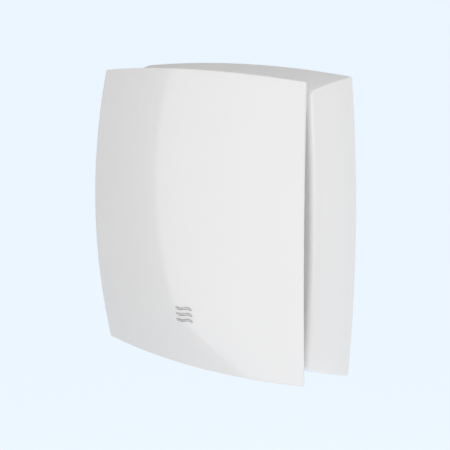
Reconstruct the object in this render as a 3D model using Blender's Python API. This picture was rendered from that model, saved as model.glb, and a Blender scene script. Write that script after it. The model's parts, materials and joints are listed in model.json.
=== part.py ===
"""Indoor unit of a wall-mounted single-room heat recovery ventilator, in metres.

The origin is on the duct axis, in the plane of the wall. The front faces -Y, the wall lies at
+Y, +X is to the right of someone who faces the unit, and +Z is up. A domed cover stands off a
shallow flared casing, and room air passes through the gap between them. Behind the cover lie
the louvre, the fan, and the heat store that slides in the duct spigot.
"""

from math import atan2, cos, pi, radians, sin, sqrt, tan

import bmesh
import bpy
from mathutils import Matrix, Vector

# Clearances between touching pieces, and the facets of large and of small round pieces
GAP = 0.0003
LARGE_ROUND = 32
SMALL_ROUND = 10

# Front cover: half sizes at its corners, how far its edges bow out, and its dome
COVER_HALF_X = 0.1402
COVER_HALF_Z = 0.1450
COVER_BOW_X = 0.0086
COVER_BOW_Z = 0.0066
COVER_CORNER_Y = -0.0632
COVER_DOME_X = 0.0089
COVER_DOME_Z = 0.0129
COVER_WALL = 0.0040
COVER_DRAFT = 0.0027
COVER_CORNER_ROUND = 0.0030
COVER_CELLS = 10
STUD_BOSS_R = 0.0065
STUD_X = 0.105
STUD_Z = 0.112
STUD_BOSS_END = -0.0560
STUD_BALL_Y = -0.0415
STUD_BALL_R = 0.0040
SOCKET_R = 0.0080
BADGE_X = -0.0070
BADGE_Z = -0.0960
BADGE_PITCH = 0.0062
BADGE_HALF = 0.0115

# Casing: half sizes and bows at the wall and at the front rim
BACK_HALF_X = 0.1428
BACK_HALF_Z = 0.1468
BACK_BOW_X = 0.0074
BACK_BOW_Z = 0.0070
RIM_HALF_X = 0.1275
RIM_HALF_Z = 0.1331
RIM_BOW_X = 0.0058
RIM_BOW_Z = 0.0070
CASING_DEPTH = 0.0451
FLANK_STRAIGHT = 0.53
CASING_WALL = 0.0025
RIM_ROUND = 0.0045
CASING_CORNER_ROUND = 0.0030
SIDE_CELLS = 6
DECK_BACK = -CASING_DEPTH + CASING_WALL
OPENING_HALF = 0.083
CASING_SCREW_X = 0.108
CASING_SCREW_Z = 0.070
SCREW_R = 0.0018
SCREW_HOLE_R = 0.0022

# Rear plate and duct spigot
PLATE_THICK = 0.0030
PLATE_INSET = 0.0045
PLATE_HOLE_R = 0.0794
WALL_HOLE_X = 0.112
WALL_HOLE_Z = 0.118
WALL_HOLE_R = 0.0030
SPIGOT_R = 0.0790
SPIGOT_BORE_R = 0.0765
SPIGOT_END = 0.070
SPIGOT_FLANGE_R = 0.090
SPIGOT_SCREW_R = 0.085
FLANGE_THICK = 0.0030
FLANGE_BACK = -PLATE_THICK - GAP
FLANGE_FRONT = FLANGE_BACK - FLANGE_THICK
BAND_THICK = 0.0022
BAND_FRONT = 0.026
BAND_WIDE = 0.020
CABLE_HOLE_X = 0.084
CABLE_HOLE_Z = -0.114

# Louvre
LOUVRE_HALF = 0.080
LOUVRE_WALL = 0.0025
LOUVRE_FLANGE_HALF = 0.095
LOUVRE_FRONT = -0.0479
LOUVRE_BACK = -0.0226
LOUVRE_AXIS_Y = -0.034
BLADE_COUNT = 7
BLADE_PITCH = 0.0225
BLADE_CHORD = 0.0215
BLADE_THICK = 0.0018
BLADE_LEFT = -0.0792
BLADE_RIGHT = 0.0716
PIVOT_R = 0.0015
PIVOT_HOLE_R = 0.0018
LUG_RADIUS = 0.007
LUG_REST = radians(-40)
LUG_THICK = 0.0020
LINK_X = 0.0742
LINK_THICK = 0.0026
LINK_HALF_WIDTH = 0.0030
PIN_R = 0.0013
PIN_HOLE_R = 0.0016
CRANK_Z = BLADE_PITCH / 2

# Fan
FAN_PLATE_HALF = 0.085
FAN_PLATE_FRONT = LOUVRE_BACK + GAP
FAN_PLATE_BACK = FAN_PLATE_FRONT + 0.0025
FAN_TUBE_R = SPIGOT_BORE_R - GAP
FAN_BORE_R = 0.0742
FAN_TUBE_END = 0.015
MOUNT_FRONT = 0.011
MOUNT_R = 0.026
MOTOR_R = 0.025
MOTOR_FRONT = -0.006
SHAFT_R = 0.0020
SHAFT_BORE_R = 0.0023
HUB_R = 0.030
HUB_INNER_R = 0.027
HUB_FRONT = -0.013
HUB_BACK = 0.009
FAN_BLADES = 7
FAN_TIP_R = 0.073
FAN_BLADE_FRONT = -0.011
FAN_BLADE_BACK = 0.007
GUARD_FRONT = -0.0168
GUARD_BACK = -0.0148

# Heat store cartridge
SLEEVE_FRONT = 0.0175
SLEEVE_BACK = 0.061
SLEEVE_BORE_R = 0.0713
CORE_R = 0.071
CORE_FRONT = 0.023
CHANNEL_PITCH = 0.016
CHANNEL_WALL = 0.0022
CHANNEL_ZONE_R = 0.067
OUTER_FILTER = (0.0615, 0.0660)
OUTER_GRILLE = (0.0665, 0.0695)

# Electrics and controls
BOARD_LOW = (-0.062, -0.0116, -0.131)
BOARD_HIGH = (0.030, -0.0100, -0.097)
CONTROL_Y = -0.024
BUTTON_X = -0.050
BUTTON_R = 0.0045
SLIDER_X = -0.015
SLIDER_KNOB_X = 0.0040
SLIDER_KNOB_Y = 0.0020
SLIDER_TRAVEL = 0.005
LENS_X = -0.074
LENS_R = 0.0020
ACTUATOR_LOW = (0.0828, -0.0418, -0.0060)
ACTUATOR_HIGH = (0.1045, -0.0258, 0.0285)


# Materials

def material(name, colour, roughness, metallic=0.0):
    made = bpy.data.materials.new(name)
    made.use_nodes = True
    shader = made.node_tree.nodes["Principled BSDF"]
    shader.inputs["Base Color"].default_value = (*colour, 1.0)
    shader.inputs["Roughness"].default_value = roughness
    shader.inputs["Metallic"].default_value = metallic
    return made


# Outlines, as lists of (x, z)

def bowed_square(half_x, half_z, bow_x, bow_z, corner, cells=SIDE_CELLS):
    """Anticlockwise loop whose sides bow out as parabolas, with a blunted corner."""
    shares = [2 * i / cells - 1 for i in range(cells + 1)]
    reach_x, reach_z = 1 - corner / half_x, 1 - corner / half_z
    right = [(half_x + bow_x * (1 - (s * reach_z) ** 2), s * reach_z * half_z) for s in shares]
    top = [(-s * reach_x * half_x, half_z + bow_z * (1 - (s * reach_x) ** 2)) for s in shares]
    pull = corner * (1 - sqrt(0.5))
    tip = (half_x - pull, half_z - pull)
    half = right + [tip] + top + [(-tip[0], tip[1])]
    return half + [(-x, -z) for x, z in half]


def circle(radius, count=LARGE_ROUND):
    return [(radius * cos(2 * pi * i / count), radius * sin(2 * pi * i / count)) for i in range(count)]


def square_as_circle(half, count=LARGE_ROUND):
    """A square with one point in the direction of each of the circle's points."""
    scales = [half / max(abs(x), abs(z)) for x, z in circle(1.0, count)]
    return [(x * s, z * s) for (x, z), s in zip(circle(1.0, count), scales)]


def casing_outline(share, inset=0.0):
    """The casing's outline at this share of its depth, from 0 at the wall to 1 at the rim."""
    lean = FLANK_STRAIGHT * share + (1 - FLANK_STRAIGHT) * share**2
    return bowed_square(
        BACK_HALF_X + lean * (RIM_HALF_X - BACK_HALF_X) - inset,
        BACK_HALF_Z + lean * (RIM_HALF_Z - BACK_HALF_Z) - inset,
        BACK_BOW_X + lean * (RIM_BOW_X - BACK_BOW_X),
        BACK_BOW_Z + lean * (RIM_BOW_Z - BACK_BOW_Z),
        CASING_CORNER_ROUND,
    )


def cover_front(x, z):
    """Depth of the cover's domed front."""
    across = COVER_DOME_X * (1 - (x / COVER_HALF_X) ** 2)
    return COVER_CORNER_Y - across - COVER_DOME_Z * (1 - (z / COVER_HALF_Z) ** 2)


# Closed shapes, added to a bmesh

def loft(bm, loops, ring):
    """Skins (outline, y) loops of equally many points. A ring joins its last loop to its first."""
    rows = [[bm.verts.new((x, y, z)) for x, z in outline] for outline, y in loops]
    for row, following in zip(rows, rows[1:] + rows[:1] if ring else rows[1:]):
        for i in range(len(row)):
            j = (i + 1) % len(row)
            bm.faces.new((row[i], row[j], following[j], following[i]))
    if not ring:
        bm.faces.new(rows[0])
        bm.faces.new(rows[-1])


def box(bm, low, high):
    low, high = Vector(low), Vector(high)
    place = Matrix.Translation((low + high) / 2) @ Matrix.Diagonal((*(high - low), 1.0))
    bmesh.ops.create_cube(bm, size=1.0, matrix=place)


def turned(bm, profile, centre=(0, 0, 0), axis="Y", steps=LARGE_ROUND, closed=True):
    """Spins (radius, height) points about an axis. An open profile starts and ends on the axis."""
    centre = Vector(centre)
    along = {"X": Vector((1, 0, 0)), "Y": Vector((0, 1, 0)), "Z": Vector((0, 0, 1))}[axis]
    out = Vector((0, 0, 1)) if axis == "X" else Vector((1, 0, 0))
    verts = [bm.verts.new(centre + out * r + along * h) for r, h in profile]
    edges = [bm.edges.new(pair) for pair in zip(verts, verts[1:])]
    if closed:
        edges.append(bm.edges.new((verts[-1], verts[0])))
    bmesh.ops.spin(
        bm, geom=verts + edges, cent=centre, axis=along, angle=2 * pi, steps=steps, use_merge=True
    )
    bmesh.ops.remove_doubles(bm, verts=bm.verts, dist=1e-6)


def flat_ring(bm, inner_r, outer_r, front, back, steps=LARGE_ROUND):
    """Ring about the duct axis."""
    turned(bm, [(inner_r, front), (outer_r, front), (outer_r, back), (inner_r, back)], steps=steps)


def rod(bm, radius, start, end, centre, axis, steps=SMALL_ROUND):
    """Cylinder between two heights along an axis through the centre."""
    profile = [(0, start), (radius, start), (radius, end), (0, end)]
    turned(bm, profile, centre, axis, steps, closed=False)


# Objects

def pivot(name, place, parent=None):
    """Empty on a joint's axis, which its pieces are parented to."""
    empty = bpy.data.objects.new(name, None)
    empty.empty_display_size = 0.02
    empty.location = Vector(place) - (parent.matrix_world.translation if parent else Vector())
    empty.parent = parent
    bpy.context.scene.collection.objects.link(empty)
    bpy.context.view_layer.update()
    return empty


def make(name, bm, finish, parent):
    """Turns the bmesh, built in world coordinates, into an object with its origin at its parent."""
    bmesh.ops.translate(bm, vec=-parent.matrix_world.translation, verts=bm.verts)
    bmesh.ops.recalc_face_normals(bm, faces=bm.faces)
    mesh = bpy.data.meshes.new(name)
    bm.to_mesh(mesh)
    bm.free()
    mesh.shade_smooth()
    mesh.set_sharp_from_angle(angle=radians(30))
    if finish:
        mesh.materials.append(finish)
    obj = bpy.data.objects.new(name, mesh)
    obj.parent = parent
    bpy.context.scene.collection.objects.link(obj)
    return obj


def combine(obj, operation, name, bm):
    """Cuts the helper's shape from the object, or joins it on."""
    helper = make(name, bm, None, obj.parent)
    helper.hide_render = True
    helper.display_type = "WIRE"
    modifier = obj.modifiers.new(name, "BOOLEAN")
    modifier.operation = operation
    modifier.solver = "EXACT"
    modifier.object = helper


def four_corners(x, z):
    return [(x, z), (-x, z), (-x, -z), (x, -z)]


def pan_screw(name, place, shank_end, finish, parent):
    """Pan-head screw whose head's underside is at place, and which points to +Y."""
    bm = bmesh.new()
    head_r, head_high = 0.0036, 0.0022
    x, under, z = place
    profile = [
        (0, under - head_high),
        (head_r * 0.6, under - head_high),
        (head_r, under - head_high * 0.5),
        (head_r, under),
        (SCREW_R, under),
        (SCREW_R, shank_end - SCREW_R),
        (0, shank_end),
    ]
    turned(bm, profile, (x, 0, z), "Y", SMALL_ROUND, closed=False)
    make(name, bm, finish, parent)


def smooth_lead(name, points, radius, finish, parent):
    """Round lead along a Catmull-Rom curve through the points."""
    route = [Vector(p) for p in points]
    route = [2 * route[0] - route[1]] + route + [2 * route[-1] - route[-2]]
    path = []
    steps = 3
    for a, b, c, d in zip(route, route[1:], route[2:], route[3:]):
        for i in range(steps):
            t = i / steps
            cubic = 3 * b - a - 3 * c + d
            path.append((2 * b + (c - a) * t + (2 * a - 5 * b + 4 * c - d) * t**2 + cubic * t**3) / 2)
    path.append(route[-2])
    curve = bpy.data.curves.new(name, "CURVE")
    curve.dimensions = "3D"
    curve.bevel_depth = radius
    curve.bevel_resolution = 2
    curve.use_fill_caps = True
    spline = curve.splines.new("POLY")
    spline.points.add(len(path) - 1)
    for point, place in zip(spline.points, path):
        point.co = (*place, 1.0)
    curve.materials.append(finish)
    obj = bpy.data.objects.new(name, curve)
    obj.parent = parent
    bpy.context.scene.collection.objects.link(obj)


# Front cover

def front_cover(parent, finish):
    """Domed plate with bowed edges, whose sides slope in towards its back, and four stud bosses."""
    bm = bmesh.new()
    edge_cell = 2 * COVER_CORNER_ROUND / (COVER_HALF_X + COVER_HALF_Z)
    inner = [(2 * i / COVER_CELLS - 1) * (1 - edge_cell) for i in range(COVER_CELLS + 1)]
    shares = [-1.0] + inner + [1.0]
    last = len(shares) - 1
    pull = 1 - COVER_CORNER_ROUND * (1 - sqrt(0.5)) / COVER_HALF_X

    def place(i, j, back):
        u, v = shares[i], shares[j]
        x = u * (COVER_HALF_X + COVER_BOW_X * (1 - v * v))
        z = v * (COVER_HALF_Z + COVER_BOW_Z * (1 - u * u))
        if i in (0, last) and j in (0, last):
            x, z = x * pull, z * pull
        front = cover_front(x, z)
        if back and i in (0, last):
            x -= u * COVER_DRAFT
        if back and j in (0, last):
            z -= v * COVER_DRAFT
        return x, front + back, z

    count = range(len(shares))
    layers = [[[bm.verts.new(place(i, j, back)) for j in count] for i in count] for back in (0, COVER_WALL)]
    for layer in layers:
        for i in range(last):
            for j in range(last):
                bm.faces.new((layer[i][j], layer[i + 1][j], layer[i + 1][j + 1], layer[i][j + 1]))
    bmesh.ops.bridge_loops(bm, edges=[edge for edge in bm.edges if edge.is_boundary])
    cover = make("front_cover", bm, finish, parent)
    bosses = bmesh.new()
    for x, z in four_corners(STUD_X, STUD_Z):
        rod(bosses, STUD_BOSS_R, cover_front(x, z) + COVER_WALL / 2, STUD_BOSS_END, (x, 0, z), "Y")
    combine(cover, "UNION", "cover_bosses", bosses)


def cover_studs(parent, finish):
    """Ball studs on the cover's bosses."""
    flange = STUD_BOSS_END + GAP
    for number, (x, z) in enumerate(four_corners(STUD_X, STUD_Z), 1):
        bm = bmesh.new()
        neck_r, flange_r = 0.0026, 0.0060
        arc = [radians(-50), radians(-20), radians(20), radians(55)]
        ball = [(STUD_BALL_R * cos(a), STUD_BALL_Y + STUD_BALL_R * sin(a)) for a in arc]
        end = flange + 0.0016
        neck = [(0, flange), (flange_r, flange), (flange_r, end), (neck_r, end)]
        turned(bm, neck + ball + [(0, STUD_BALL_Y + STUD_BALL_R)], (x, 0, z), "Y", SMALL_ROUND, closed=False)
        make(f"cover_stud_{number}", bm, finish, parent)


def stud_sockets(parent, finish):
    """Sockets in the deck that the cover's studs snap into."""
    front, back = -CASING_DEPTH - GAP, -0.0345
    for number, (x, z) in enumerate(four_corners(STUD_X, STUD_Z), 1):
        bm = bmesh.new()
        profile = [
            (0.0052, front - 0.0020),
            (0.0095, front - 0.0020),
            (0.0095, front),
            (SOCKET_R, front),
            (SOCKET_R - 0.0008, back),
            (STUD_BALL_R + 0.0004, back),
            (STUD_BALL_R + 0.0004, front),
        ]
        turned(bm, profile, (x, 0, z), "Y", SMALL_ROUND)
        make(f"stud_socket_{number}", bm, finish, parent)


def badge(parent, finish):
    """Three short wavy strokes low on the cover, which follow its dome."""
    cells, wave, half_wide, proud = 10, 0.0011, 0.0013, 0.0010
    for number in range(3):
        bm = bmesh.new()
        middle_z = BADGE_Z - (number - 1) * BADGE_PITCH
        rows = []
        for i in range(cells + 1):
            share = 2 * i / cells - 1
            x = BADGE_X + share * BADGE_HALF
            z = middle_z + wave * sin(share * pi)
            half = half_wide * sqrt(max(1 - share**6, 0.15))
            crown = half * 0.7
            corners = [(z - half, GAP), (z + half, GAP), (z + crown, GAP + proud), (z - crown, GAP + proud)]
            rows.append([bm.verts.new((x, cover_front(x, at_z) - up, at_z)) for at_z, up in corners])
        for row, following in zip(rows, rows[1:]):
            for i in range(4):
                j = (i + 1) % 4
                bm.faces.new((row[i], row[j], following[j], following[i]))
        bm.faces.new(rows[0])
        bm.faces.new(rows[-1])
        make(f"badge_bar_{number + 1}", bm, finish, parent)


# Casing

def casing(parent, finish):
    """Flared shell, open at the wall, with a flat deck that has a square air opening."""
    bm = bmesh.new()
    flank_end = 1 - RIM_ROUND / CASING_DEPTH
    shares = [flank_end * i / 4 for i in range(5)]
    outer = [(casing_outline(s), -s * CASING_DEPTH) for s in shares]
    for turn in (pi / 5, pi / 2.6, pi / 2):
        depth = CASING_DEPTH - RIM_ROUND * (1 - sin(turn))
        outer.append((casing_outline(depth / CASING_DEPTH, RIM_ROUND * (1 - cos(turn))), -depth))
    opening = bowed_square(OPENING_HALF, OPENING_HALF, 0, 0, 0.004)
    inner_round = RIM_ROUND - CASING_WALL
    deck = [(opening, -CASING_DEPTH), (opening, DECK_BACK), (casing_outline(1, RIM_ROUND), DECK_BACK)]
    knee_y = -CASING_DEPTH + RIM_ROUND - inner_round / 2
    knee = (casing_outline(flank_end, CASING_WALL + inner_round / 3), knee_y)
    inner = [(casing_outline(s, CASING_WALL), -s * CASING_DEPTH) for s in reversed(shares)]
    loft(bm, outer + deck + [knee] + inner, ring=True)
    shell = make("casing", bm, finish, parent)
    holes = bmesh.new()
    for x, z in four_corners(STUD_X, STUD_Z):
        rod(holes, SOCKET_R + GAP, -0.050, -0.038, (x, 0, z), "Y")
    for x, z in four_corners(CASING_SCREW_X, CASING_SCREW_Z):
        rod(holes, SCREW_HOLE_R, -0.050, -0.038, (x, 0, z), "Y")
    combine(shell, "DIFFERENCE", "casing_front_holes", holes)
    controls = bmesh.new()
    under, over = -0.155, -0.138
    rod(controls, BUTTON_R + 0.0004, under, over, (BUTTON_X, CONTROL_Y, 0), "Z")
    rod(controls, LENS_R + 0.0004, under, over, (LENS_X, CONTROL_Y, 0), "Z")
    slot_x, slot_y = SLIDER_KNOB_X + SLIDER_TRAVEL + 0.0005, SLIDER_KNOB_Y + 0.0004
    low = (SLIDER_X - slot_x, CONTROL_Y - slot_y, under)
    box(controls, low, (SLIDER_X + slot_x, CONTROL_Y + slot_y, over))
    combine(shell, "DIFFERENCE", "casing_control_holes", controls)


def rear_plate(parent, finish):
    """Wall plate with bosses for the casing screws, standoffs for the board and fixing holes."""
    bm = bmesh.new()
    outline = casing_outline(0, PLATE_INSET)
    loft(bm, [(outline, 0.0), (outline, -PLATE_THICK)], ring=False)
    plate = make("rear_plate", bm, finish, parent)
    posts = bmesh.new()
    for x, z in four_corners(CASING_SCREW_X, CASING_SCREW_Z):
        rod(posts, 0.0050, DECK_BACK + GAP, -PLATE_THICK / 2, (x, 0, z), "Y")
    for x in (BOARD_LOW[0] + 0.006, BOARD_HIGH[0] - 0.006):
        for z in (BOARD_LOW[2] + 0.005, BOARD_HIGH[2] - 0.005):
            rod(posts, 0.0030, BOARD_HIGH[1] + GAP, -PLATE_THICK / 2, (x, 0, z), "Y", 8)
    combine(plate, "UNION", "plate_posts", posts)
    holes = bmesh.new()
    rod(holes, PLATE_HOLE_R, -0.010, 0.010, (0, 0, 0), "Y", LARGE_ROUND)
    for x, z in four_corners(WALL_HOLE_X, WALL_HOLE_Z):
        rod(holes, WALL_HOLE_R, -0.010, 0.010, (x, 0, z), "Y", 8)
    for x, z in four_corners(SPIGOT_SCREW_R * sqrt(0.5), SPIGOT_SCREW_R * sqrt(0.5)):
        rod(holes, SCREW_HOLE_R, -0.010, 0.010, (x, 0, z), "Y", 8)
    for x, z in four_corners(CASING_SCREW_X, CASING_SCREW_Z):
        rod(holes, SCREW_HOLE_R, -0.050, -0.015, (x, 0, z), "Y", 8)
    rod(holes, 0.0080, -0.010, 0.010, (CABLE_HOLE_X, 0, CABLE_HOLE_Z), "Y")
    combine(plate, "DIFFERENCE", "plate_holes", holes)


def screws(parent, finish):
    for number, (x, z) in enumerate(four_corners(CASING_SCREW_X, CASING_SCREW_Z), 1):
        pan_screw(f"casing_screw_{number}", (x, -CASING_DEPTH - GAP, z), -0.022, finish, parent)
    for number, (x, z) in enumerate(four_corners(SPIGOT_SCREW_R * sqrt(0.5), SPIGOT_SCREW_R * sqrt(0.5)), 1):
        pan_screw(f"spigot_screw_{number}", (x, FLANGE_FRONT - GAP, z), -0.0005, finish, parent)


def spigot(parent, finish, foam):
    """Flanged tube that carries the fan and the heat store, with a foam band for the wall duct."""
    bm = bmesh.new()
    profile = [
        (SPIGOT_BORE_R, FLANGE_FRONT),
        (SPIGOT_FLANGE_R, FLANGE_FRONT),
        (SPIGOT_FLANGE_R, FLANGE_BACK),
        (SPIGOT_R, FLANGE_BACK),
        (SPIGOT_R, SPIGOT_END),
        (SPIGOT_BORE_R, SPIGOT_END),
    ]
    turned(bm, profile)
    tube = make("duct_spigot", bm, finish, parent)
    holes = bmesh.new()
    for x, z in four_corners(SPIGOT_SCREW_R * sqrt(0.5), SPIGOT_SCREW_R * sqrt(0.5)):
        rod(holes, SCREW_HOLE_R, -0.010, 0.010, (x, 0, z), "Y", 8)
    combine(tube, "DIFFERENCE", "spigot_holes", holes)
    band = bmesh.new()
    flat_ring(band, SPIGOT_R + GAP, SPIGOT_R + BAND_THICK, BAND_FRONT, BAND_FRONT + BAND_WIDE)
    make("duct_seal_band", band, foam, parent)


# Louvre

def louvre_frame(parent, finish):
    """Square frame through the deck's opening, with a flange in front and pivot holes."""
    bm = bmesh.new()
    sizes = [
        (LOUVRE_HALF, LOUVRE_FRONT),
        (LOUVRE_FLANGE_HALF, LOUVRE_FRONT),
        (LOUVRE_FLANGE_HALF, -CASING_DEPTH - GAP),
        (LOUVRE_HALF + LOUVRE_WALL, -CASING_DEPTH - GAP),
        (LOUVRE_HALF + LOUVRE_WALL, LOUVRE_BACK),
        (LOUVRE_HALF, LOUVRE_BACK),
    ]
    loft(bm, [(bowed_square(half, half, 0, 0, 0.003, cells=1), y) for half, y in sizes], ring=True)
    frame = make("louvre_frame", bm, finish, parent)
    holes = bmesh.new()
    for number in range(BLADE_COUNT):
        rod(holes, PIVOT_HOLE_R, -0.090, 0.090, (0, LOUVRE_AXIS_Y, blade_height(number)), "X", 8)
    rod(holes, 0.0028, 0.070, 0.090, (0, LOUVRE_AXIS_Y, CRANK_Z), "X", 8)
    combine(frame, "DIFFERENCE", "frame_pivot_holes", holes)


def blade_height(number):
    return (number - (BLADE_COUNT - 1) / 2) * BLADE_PITCH


def lug_pin(axis_z):
    """Centre of the pin on a lug that turns about the louvre axis at this height, at rest."""
    return LOUVRE_AXIS_Y + LUG_RADIUS * cos(LUG_REST), axis_z + LUG_RADIUS * sin(LUG_REST)


def lug(bm, axis_z, x_low, x_high):
    """Flat arm with round ends from the louvre axis to its pin."""
    pin_y, pin_z = lug_pin(axis_z)
    lean = atan2(pin_z - axis_z, pin_y - LOUVRE_AXIS_Y)
    round_r, turns = 0.0023, [pi * i / 6 for i in range(7)]
    ends = [((pin_y, pin_z), lean - pi / 2), ((LOUVRE_AXIS_Y, axis_z), lean + pi / 2)]
    outline = [(cy + round_r * cos(a + t), cz + round_r * sin(a + t)) for (cy, cz), a in ends for t in turns]
    front = bm.faces.new([bm.verts.new((x_low, y, z)) for y, z in outline])
    sides = bmesh.ops.extrude_face_region(bm, geom=[front])["geom"]
    moved = [part for part in sides if isinstance(part, bmesh.types.BMVert)]
    bmesh.ops.translate(bm, vec=(x_high - x_low, 0, 0), verts=moved)


def louvre_blade(number, parent, finish):
    """Flat blade, thickest at its shaft, with a shaft end at each side and a lug with a pin."""
    z = blade_height(number)
    bm = bmesh.new()
    half, thick = BLADE_CHORD / 2, BLADE_THICK / 2
    section = [
        (LOUVRE_AXIS_Y - thick * 0.5, z + half),
        (LOUVRE_AXIS_Y - PIVOT_R * 1.1, z),
        (LOUVRE_AXIS_Y - thick * 0.5, z - half),
        (LOUVRE_AXIS_Y + thick * 0.5, z - half),
        (LOUVRE_AXIS_Y + PIVOT_R * 1.1, z),
        (LOUVRE_AXIS_Y + thick * 0.5, z + half),
    ]
    ends = [[bm.verts.new((x, at_y, at_z)) for at_y, at_z in section] for x in (BLADE_LEFT, BLADE_RIGHT)]
    for i in range(len(section)):
        j = (i + 1) % len(section)
        bm.faces.new((ends[0][i], ends[0][j], ends[1][j], ends[1][i]))
    bm.faces.new(ends[0])
    bm.faces.new(ends[1])
    blade = make(f"louvre_blade_{number + 1}", bm, finish, parent)
    shaft = bmesh.new()
    rod(shaft, PIVOT_R, -0.0823, 0.0823, (0, LOUVRE_AXIS_Y, z), "X", 8)
    combine(blade, "UNION", f"blade_shaft_{number + 1}", shaft)
    arm = bmesh.new()
    lug(arm, z, BLADE_RIGHT - 0.0005, BLADE_RIGHT + LUG_THICK)
    combine(blade, "UNION", f"blade_lug_{number + 1}", arm)
    pin = bmesh.new()
    pin_y, pin_z = lug_pin(z)
    rod(pin, PIN_R, BLADE_RIGHT + LUG_THICK / 2, LINK_X + LINK_THICK - GAP, (0, pin_y, pin_z), "X", 8)
    combine(blade, "UNION", f"blade_pin_{number + 1}", pin)


def louvre_link(parent, finish):
    """Upright bar that joins the blades' pins and the crank's pin."""
    bm = bmesh.new()
    pin_y, low_z = lug_pin(blade_height(0))
    high_z = lug_pin(blade_height(BLADE_COUNT - 1))[1]
    reach = 0.004
    low = (LINK_X, pin_y - LINK_HALF_WIDTH, low_z - reach)
    high = (LINK_X + LINK_THICK, pin_y + LINK_HALF_WIDTH, high_z + reach)
    box(bm, low, high)
    link = make("louvre_link", bm, finish, parent)
    holes = bmesh.new()
    for axis_z in [blade_height(number) for number in range(BLADE_COUNT)] + [CRANK_Z]:
        rod(holes, PIN_HOLE_R, LINK_X - 0.002, LINK_X + 0.006, (0, pin_y, lug_pin(axis_z)[1]), "X", 8)
    combine(link, "DIFFERENCE", "link_holes", holes)


def louvre_drive(parent, crank_parent, shell_finish, crank_finish):
    """Gear motor beside the frame, and the crank that it turns inside the frame."""
    bm = bmesh.new()
    box(bm, ACTUATOR_LOW, ACTUATOR_HIGH)
    bmesh.ops.bevel(bm, geom=bm.edges[:], offset=0.0012, segments=1, affect="EDGES")
    actuator = make("louvre_actuator", bm, shell_finish, parent)
    bore = bmesh.new()
    rod(bore, 0.0025, 0.080, 0.090, (0, LOUVRE_AXIS_Y, CRANK_Z), "X", 8)
    combine(actuator, "DIFFERENCE", "actuator_bore", bore)
    arm = bmesh.new()
    arm_low = LINK_X + LINK_THICK + GAP
    lug(arm, CRANK_Z, arm_low, arm_low + LUG_THICK)
    crank = make("louvre_crank", arm, crank_finish, crank_parent)
    shaft = bmesh.new()
    rod(shaft, 0.0022, arm_low + LUG_THICK / 2, 0.0890, (0, LOUVRE_AXIS_Y, CRANK_Z), "X", 8)
    combine(crank, "UNION", "crank_shaft", shaft)
    pin = bmesh.new()
    pin_y, pin_z = lug_pin(CRANK_Z)
    rod(pin, PIN_R, LINK_X + GAP, arm_low + LUG_THICK / 2, (0, pin_y, pin_z), "X", 8)
    combine(crank, "UNION", "crank_pin", pin)


# Fan

def fan_housing(parent, finish):
    """Square inlet plate with a bell mouth that runs into the fan tube, and the motor's mount."""
    bm = bmesh.new()
    loops = [
        (square_as_circle(FAN_PLATE_HALF), FAN_PLATE_FRONT),
        (square_as_circle(FAN_PLATE_HALF), FAN_PLATE_BACK),
        (circle(FAN_TUBE_R), FAN_PLATE_BACK),
        (circle(FAN_TUBE_R), FAN_TUBE_END),
        (circle(FAN_BORE_R), FAN_TUBE_END),
        (circle(FAN_BORE_R), FAN_PLATE_BACK + 0.0025),
        (circle(FAN_BORE_R + 0.0005), FAN_PLATE_BACK),
        (circle(FAN_BORE_R + 0.0048), FAN_PLATE_FRONT),
    ]
    loft(bm, loops, ring=True)
    housing = make("fan_housing", bm, finish, parent)
    strut_half, reach = 0.003, FAN_BORE_R + 0.001
    across = bmesh.new()
    box(across, (-reach, MOUNT_FRONT, -strut_half), (reach, FAN_TUBE_END, strut_half))
    combine(housing, "UNION", "mount_across", across)
    upright = bmesh.new()
    box(upright, (-strut_half, MOUNT_FRONT, -reach), (strut_half, FAN_TUBE_END, reach))
    combine(housing, "UNION", "mount_upright", upright)
    disc = bmesh.new()
    rod(disc, MOUNT_R, MOUNT_FRONT, FAN_TUBE_END, (0, 0, 0), "Y", 24)
    combine(housing, "UNION", "mount_disc", disc)


def fan_guard(parent, finish):
    """Finger guard of two rings, a middle disc and eight bars."""
    bm = bmesh.new()
    flat_ring(bm, 0.0716, 0.0737, GUARD_FRONT, GUARD_BACK, 24)
    guard = make("fan_guard", bm, finish, parent)
    middle = bmesh.new()
    flat_ring(middle, 0.0450, 0.0470, GUARD_FRONT, GUARD_BACK, 16)
    rod(middle, 0.014, GUARD_FRONT, GUARD_BACK, (0, 0, 0), "Y")
    combine(guard, "UNION", "guard_middle", middle)
    bar_inset = 0.0003
    for number in range(4):
        bar = bmesh.new()
        box(bar, (-0.0725, GUARD_FRONT + bar_inset, -0.0010), (0.0725, GUARD_BACK - bar_inset, 0.0010))
        turn = Matrix.Rotation(number * pi / 4 + pi / 8, 3, "Y")
        bmesh.ops.rotate(bar, cent=(0, 0, 0), matrix=turn, verts=bar.verts)
        combine(guard, "UNION", f"guard_bar_{number + 1}", bar)


def fan_motor(parent, finish):
    """External-rotor motor with a blind bore for the shaft."""
    bm = bmesh.new()
    back = MOUNT_FRONT - GAP
    profile = [
        (SHAFT_BORE_R, MOTOR_FRONT),
        (0.010, MOTOR_FRONT),
        (0.010, MOTOR_FRONT + 0.002),
        (MOTOR_R - 0.002, MOTOR_FRONT + 0.002),
        (MOTOR_R, MOTOR_FRONT + 0.004),
        (MOTOR_R, back),
        (0, back),
    ]
    turned(bm, [(0, 0.0083), (SHAFT_BORE_R, 0.0083)] + profile, steps=20, closed=False)
    make("fan_motor", bm, finish, parent)


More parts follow.
